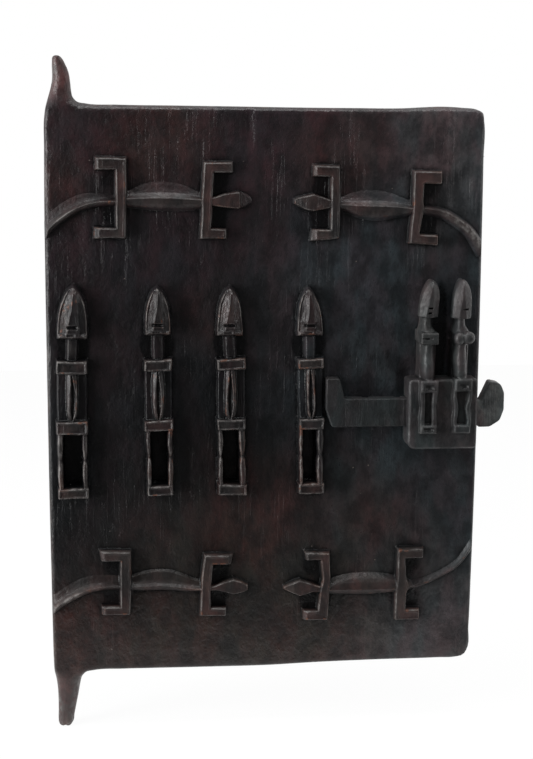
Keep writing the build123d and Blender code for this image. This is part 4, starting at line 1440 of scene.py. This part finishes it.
# Patches of tone: place and radius in metres, colour, strength. The plum, slate, umber and ash
# ones, lighter towards the top and the bottom than the middle, are partly patina and partly a
# painted sheen
PLANK_ZONES = (
    ((0.10, -0.01, 0.66), 0.30, PLUM, 0.75), ((0.33, -0.01, 0.66), 0.26, PLUM, 0.9),
    ((0.42, -0.01, 0.63), 0.17, ASH, 0.85), ((0.36, -0.01, 0.44), 0.22, SLATE, 0.8),
    ((0.38, -0.01, 0.22), 0.20, SLATE, 0.9), ((0.20, -0.01, 0.06), 0.32, UMBER, 0.85),
    ((0.42, -0.01, 0.06), 0.17, ASH, 0.68), ((0, -0.01, 0.04), 0.16, UMBER, 0.8),
    ((0.105, -0.013, 0.615), 0.085, RED_BROWN, 0.8), ((0.285, -0.013, 0.6), 0.075, RED_BROWN, 0.6),
    ((0.195, -0.013, 0.235), 0.075, RED_BROWN, 0.8), ((0, -0.013, 0.57), 0.05, RED_BROWN, 0.7),
    ((0.15, -0.013, 0.44), 0.05, RED_BROWN, 0.35), ((0.02, -0.013, 0.105), 0.06, RED_BROWN, 0.7),
    ((0.325, -0.013, 0.23), 0.05, RED_BROWN, 0.5), ((0.006, -0.004, 0.69), 0.045, PIVOT_BROWN, 0.9),
    ((0, -0.004, 0.015), 0.06, PIVOT_BROWN, 0.85),
)
# The bolt's knob is a lighter grey, partly its own tone and partly painted light
BOLT_ZONES = (((0.448, -0.03, 0.350), 0.046, KNOB_GREY, 1.0),)
CASE_GROUND = ((0.0205, 0.0218, 0.0222, 1), (0.0335, 0.0338, 0.0335, 1))
BOLT_GROUND = ((0.0132, 0.0147, 0.0153, 1), (0.020, 0.0205, 0.0203, 1))
BARE_GROUND = ((0.060, 0.040, 0.028, 1), (0.120, 0.080, 0.052, 1))
RUBBED_BROWN = ((0.048, 0.042, 0.040, 1), (0.080, 0.040, 0.028, 1))
RUBBED_GREY = ((0.040, 0.040, 0.041, 1), (0.052, 0.046, 0.043, 1))
RUBBED_BARE = ((0.22, 0.16, 0.11, 1), (0.24, 0.17, 0.11, 1))
# The palest edge tones: partly polish, partly painted highlights on the most proud rims
POLISHED_AND_HIGHLIGHT, POLISHED_BARE = (0.135, 0.125, 0.120, 1), (0.28, 0.21, 0.15, 1)
# A near black for the painted shade in hollows and beside the reliefs, and an orange-brown for
# chips
PAINTED_SHADE_TONE, CHIP_TONE = (0.0020, 0.0023, 0.0028, 1), (0.105, 0.040, 0.022, 1)
NICK_TONE, SPECKLE_TINT = (0.16, 0.135, 0.12, 1), (0.55, 0.56, 0.58, 1)
MOTTLE_DARK, MOTTLE_LIGHT = (0.62, 0.62, 0.64, 1), (1.5, 1.47, 1.47, 1)
SCORED_TINT = (1.7, 1.65, 1.65, 1)
# Warm and cool tints over the whole surface: the scale of their noise, and both colours
TINTS = (
    ((17, 17, 11), (1.07, 0.98, 0.96, 1), (0.94, 1.01, 1.03, 1)),
    ((48, 48, 20), (1.12, 0.95, 0.98, 1), (0.90, 1.03, 1.04, 1)),
)
BUMP_DISTANCE = 0.0007
WOOD_IOR = 1.42


def patina(n, ground, relief, zones, raised):
    """The ground's clouds with soft patches of other tones, and the reliefs' own tone."""
    cloud = n.noise((9, 9, 6), detail=4.0, roughness=0.55)
    colour = n.mixed(n.ranged(cloud, 0.36, 0.6), *ground)
    for index, (centre, radius, tone, strength) in enumerate(zones):
        broken = n.ranged(n.noise((26 + index, 30, 17), detail=4.0), 0.34, 0.66, 0.66, 1.0)
        share = n.times(n.spot(centre, radius), broken)
        colour = n.mixed(n.times(share, strength), colour, tone)
    relief_tone = n.mixed(n.ranged(n.noise((26, 26, 20)), 0.35, 0.65), *relief)
    return n.mixed(n.times(raised, 0.85), colour, relief_tone)


def textured(n, colour, mottle, speckle, scored):
    """Tints, mottle, speckle and scores over a colour."""
    for scale, warm, cool in TINTS:
        tint = n.mixed(n.ranged(n.noise(scale), 0.38, 0.62), warm, cool)
        colour = n.tinted(1.0, colour, tint)
    tint = n.mixed(n.ranged(mottle, 0.36, 0.64), MOTTLE_DARK, MOTTLE_LIGHT)
    colour = n.tinted(1.0, colour, tint)
    colour = n.tinted(n.ranged(speckle, 0.46, 0.7, 0.0, 0.7), colour, SPECKLE_TINT)
    return n.tinted(n.times(scored, 0.45), colour, SCORED_TINT)


def worn(n, colour, wear, raised, rubbed, polish_and_highlight, edges):
    """Rubbed edges, the most proud of them lit by a painted highlight, and chips in the reliefs."""
    ragged = n.noise((150, 150, 95), detail=4.0, roughness=0.65)
    patchy = n.ranged(n.noise((30, 30, 24), detail=2.0), 0.5, 0.68)
    edge = n.times(n.ranged(wear, 0.2, 0.9, 0.0, edges), n.ranged(ragged, 0.36, 0.6, 0.25))
    colour = n.mixed(edge, colour, n.mixed(patchy, *rubbed))
    bright = n.times(n.ranged(wear, 0.6, 1.0, 0.0, edges), n.ranged(ragged, 0.42, 0.62, 0.05))
    colour = n.mixed(bright, colour, polish_and_highlight)
    rare = n.ranged(n.noise((95, 95, 80), detail=2.0), 0.64, 0.69)
    chipped = n.times(n.times(rare, n.ranged(wear, 0.02, 0.2)), raised)
    return n.mixed(n.times(chipped, 0.8), colour, CHIP_TONE)


def nicked(n, colour):
    """A few tiny pale nicks."""
    nick = n.add("TexVoronoi", [("Vector", n.stretched((75, 75, 75))), ("Scale", 1.0)],
                 feature="F1").outputs
    tiny = n.ranged(nick["Distance"], 0.03, 0.065, 1.0, 0.0)
    rare = n.ranged(nick["Color"], 0.8, 0.84)
    return n.mixed(n.times(tiny, rare), colour, NICK_TONE)


def bumps(n, mottle, scored, grain):
    pits = n.noise((170, 170, 120), detail=5.0, roughness=0.62)
    grit = n.noise((360, 360, 260), detail=2.0, roughness=0.6)
    height = n.times(pits, 1.2)
    for layer, amount in ((mottle, 2.4), (grit, 0.4), (scored, 0.4)):
        height = n.math("ADD", height, n.times(layer, amount))
    inputs = [("Strength", 1.0), ("Distance", BUMP_DISTANCE * grain), ("Height", height)]
    return n.add("Bump", inputs).outputs["Normal"]


def wood(name, ground, relief, rubbed, polish_and_highlight, zones=(), roughness=(0.30, 0.42), grain=1.0,
         edges=1.0):
    """Old carved hardwood: a mottled patina with streaks, rubbed edges partly lit by painted
    highlights, hollows darkened by painted shade, and nicks.
    """
    material = bpy.data.materials.new(name)
    n = Nodes(material, "Object")
    raised, wear = n.attribute("raised"), n.attribute("wear")
    mottle = n.noise((58, 58, 40), detail=5.0, roughness=0.62)
    speckle = n.noise((210, 210, 150), roughness=0.6)
    streak = n.ranged(n.noise((300, 300, 13), detail=4.0, roughness=0.62), 0.5, 0.72)
    scored = n.times(streak, n.ranged(n.noise((19, 19, 10), detail=2.0), 0.46, 0.62))
    # painted shade: the lower the mark, the nearer the colour comes to near black
    hollow = n.ranged(wear, -0.9, -0.05, 1.0, 0.0)

    colour = patina(n, ground, relief, zones, raised)
    colour = textured(n, colour, mottle, speckle, scored)
    colour = worn(n, colour, wear, raised, rubbed, polish_and_highlight, edges)
    colour = nicked(n, n.mixed(n.times(hollow, 0.85), colour, PAINTED_SHADE_TONE))

    smooth, dull = roughness
    rough = n.math("ADD", n.ranged(mottle, 0.3, 0.7, dull, smooth),
                   n.ranged(speckle, 0.35, 0.7, -0.04, 0.09))
    rough = n.math("SUBTRACT", rough, n.times(hollow, 0.07))
    shader = n.tree.nodes["Principled BSDF"]
    for socket, value in (("Base Color", colour), ("Roughness", rough), ("IOR", WOOD_IOR),
                          ("Normal", bumps(n, mottle, scored, grain))):
        n.put(shader, socket, value)
    return material


# ---- studio
# Name, place, what it looks at, width and height, and power in watts
SOFTBOXES = (
    ("left_light", (-1.25, -0.62, 0.62), (0.15, 0.0, 0.36), (0.55, 1.2), 24.0),
    ("right_light", (1.75, -0.55, 0.70), (0.25, 0.0, 0.36), (0.45, 1.2), 5.0),
    ("top_light", (0.15, -0.24, 1.95), (0.2, 0.0, 0.4), (1.3, 0.4), 14.5),
)
# The backdrop is brightest along this direction. How far towards the front it ends and the dim
# room begins, as a cosine
ROOM_DIRECTION = (0.26, -0.966, 0.0)
ROOM_START, ROOM_FULL = 0.05, 0.7
ROOM_LIGHT = (0.62, 0.30)     # the light from the backdrop and from the room
ROOM_REFLECTION = (1.0, 0.06)  # and what gloss shows of them
FLOOR_REACH = (-1.6, -0.22, 2.0, 2.2)        # left, front, right, back
FLOOR_DROP = -0.001
FLOOR_COLOUR, FLOOR_GLOW = (0.85, 0.85, 0.85, 1), 1.02
FLOOR_SEEN = 0.92             # how far the camera sees the floor as plain white
# The photograph's camera: its place in metres, and the directions of its right, up and back
CAMERA_PLACE = (0.04535, -1.5351, 0.6528)
CAMERA_RIGHT = (0.99426513, -0.10672648, 0.00680456)
CAMERA_UP = (0.01246852, 0.17888042, 0.98379181)
CAMERA_BACK = (-0.10621384, -0.97806506, 0.17918528)
CAMERA_LENS, CAMERA_SENSOR = 71.43, 36.0


def softbox(name, location, target, size, power):
    lamp = bpy.data.lights.new(name, "AREA")
    lamp.shape = "RECTANGLE"
    lamp.size, lamp.size_y = size
    lamp.energy = power
    holder = placed(name, lamp)
    holder.location = location
    direction = Vector(target) - Vector(location)
    holder.rotation_euler = direction.to_track_quat("-Z", "Y").to_euler()


def make_world():
    """A white backdrop behind and beside the object, and a dim room in front of it."""
    world = bpy.data.worlds.new("studio")
    bpy.context.scene.world = world
    n = Nodes(world, "Generated")
    forward = n.vector_math("DOT_PRODUCT", n.place, ROOM_DIRECTION)
    light, reflection = (n.ranged(forward, ROOM_START, ROOM_FULL, *ends)
                         for ends in (ROOM_LIGHT, ROOM_REFLECTION))
    path = n.add("LightPath").outputs
    strength = n.chosen(path["Is Glossy Ray"], light, reflection)
    for ray in ("Is Transmission Ray", "Is Camera Ray"):
        strength = n.chosen(path[ray], strength, 1.0)
    background = n.tree.nodes["Background"]
    n.put(background, "Color", WHITE)
    n.put(background, "Strength", strength)


def make_floor():
    """A pale floor that the camera sees as nearly white, with a little of the object's shadow."""
    mesh = bpy.data.meshes.new("floor")
    left, front, right, back = FLOOR_REACH
    corners = [(left, front, 0), (right, front, 0), (right, back, 0), (left, back, 0)]
    mesh.from_pydata(corners, [], [(0, 1, 2, 3)])
    floor = placed("floor", mesh)
    floor.location.z = FLOOR_DROP
    material = bpy.data.materials.new("pale_floor")
    n = Nodes(material)
    n.tree.nodes.remove(n.tree.nodes["Principled BSDF"])
    diffuse = n.add("BsdfDiffuse", [("Color", FLOOR_COLOUR)])
    glow = n.add("Emission", [("Strength", FLOOR_GLOW)])
    path = n.add("LightPath").outputs
    seen = path["Is Camera Ray"]
    for ray in ("Is Glossy Ray", "Is Transmission Ray"):
        seen = n.math("MAXIMUM", seen, path[ray])
    share = n.times(seen, FLOOR_SEEN)
    mix = n.add("MixShader", [(0, share), (1, diffuse.outputs[0]), (2, glow.outputs[0])])
    n.put(n.tree.nodes["Material Output"], "Surface", mix.outputs[0])
    mesh.materials.append(material)
    floor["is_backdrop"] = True


def make_camera():
    data = bpy.data.cameras.new("camera")
    data.lens = CAMERA_LENS
    data.sensor_width = CAMERA_SENSOR
    camera = placed("camera", data)
    rows = np.column_stack([CAMERA_RIGHT, CAMERA_UP, CAMERA_BACK])
    camera.matrix_world = Matrix.Translation(CAMERA_PLACE) @ Matrix(rows.tolist()).to_4x4()
    bpy.context.scene.camera = camera


# ---- the object
def dress(piece, material, body="door", replaced=()):
    piece.data.materials.clear()
    piece.data.materials.append(material)
    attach(piece, body)
    if replaced:
        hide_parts(*replaced)


make_camera()
make_world()
make_floor()
for lamp in SOFTBOXES:
    softbox(*lamp)

plank_wood = wood("plank_wood", PLANK_GROUND, PLANK_RELIEF, RUBBED_BROWN, POLISHED_AND_HIGHLIGHT, PLANK_ZONES)
lizard_wood = wood("lizard_wood", PLANK_GROUND, LIZARD_TONE, RUBBED_BROWN, POLISHED_AND_HIGHLIGHT, PLANK_ZONES,
                   roughness=(0.38, 0.50), grain=0.8)
case_wood = wood("case_wood", CASE_GROUND, CASE_GROUND, RUBBED_GREY, POLISHED_AND_HIGHLIGHT,
                 roughness=(0.38, 0.52), edges=0.34)
bolt_wood = wood("bolt_wood", BOLT_GROUND, BOLT_GROUND, RUBBED_GREY, POLISHED_AND_HIGHLIGHT, BOLT_ZONES,
                 roughness=(0.50, 0.62), edges=0.05)
bare_wood = wood("bare_wood", BARE_GROUND, BARE_GROUND, RUBBED_BARE, POLISHED_BARE,
                 roughness=(0.5, 0.65))

dress(make_plank(), plank_wood, replaced=("door_plank",))
for name, low, high, shape in reliefs():
    if name in FIGURES:
        raised_from, rubbed, material = FIGURES_RAISED, FIGURES_RUBBED, plank_wood
    else:
        raised_from, rubbed, material = LIZARDS_RAISED, LIZARDS_RUBBED, lizard_wood
    dress(relief_piece(name, low, high, shape, raised_from, rubbed), material)
dress(make_lock_case(), case_wood, replaced=("lock_case",))
dress(make_bolt(), bolt_wood, body="bolt", replaced=("lock_bolt",))
for node, name, body, slot in (
    ("tumbler_pin_left", "pin_left_worked", "pin_left", "pin_wood"),
    ("tumbler_pin_right", "pin_right_worked", "pin_right", "pin_wood"),
    ("case_wedge_lower", "wedge_lower_worked", "door", "wedge_wood"),
    ("case_wedge_upper", "wedge_upper_worked", "door", "wedge_wood"),
):
    dress(worked_copy(node, name), bare_wood, body=body, replaced=(node,))

bpy.context.scene.view_settings.view_transform = "Standard"
low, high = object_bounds()
{"cad": [list(cad_low), list(cad_high)], "visual": [list(low), list(high)]}
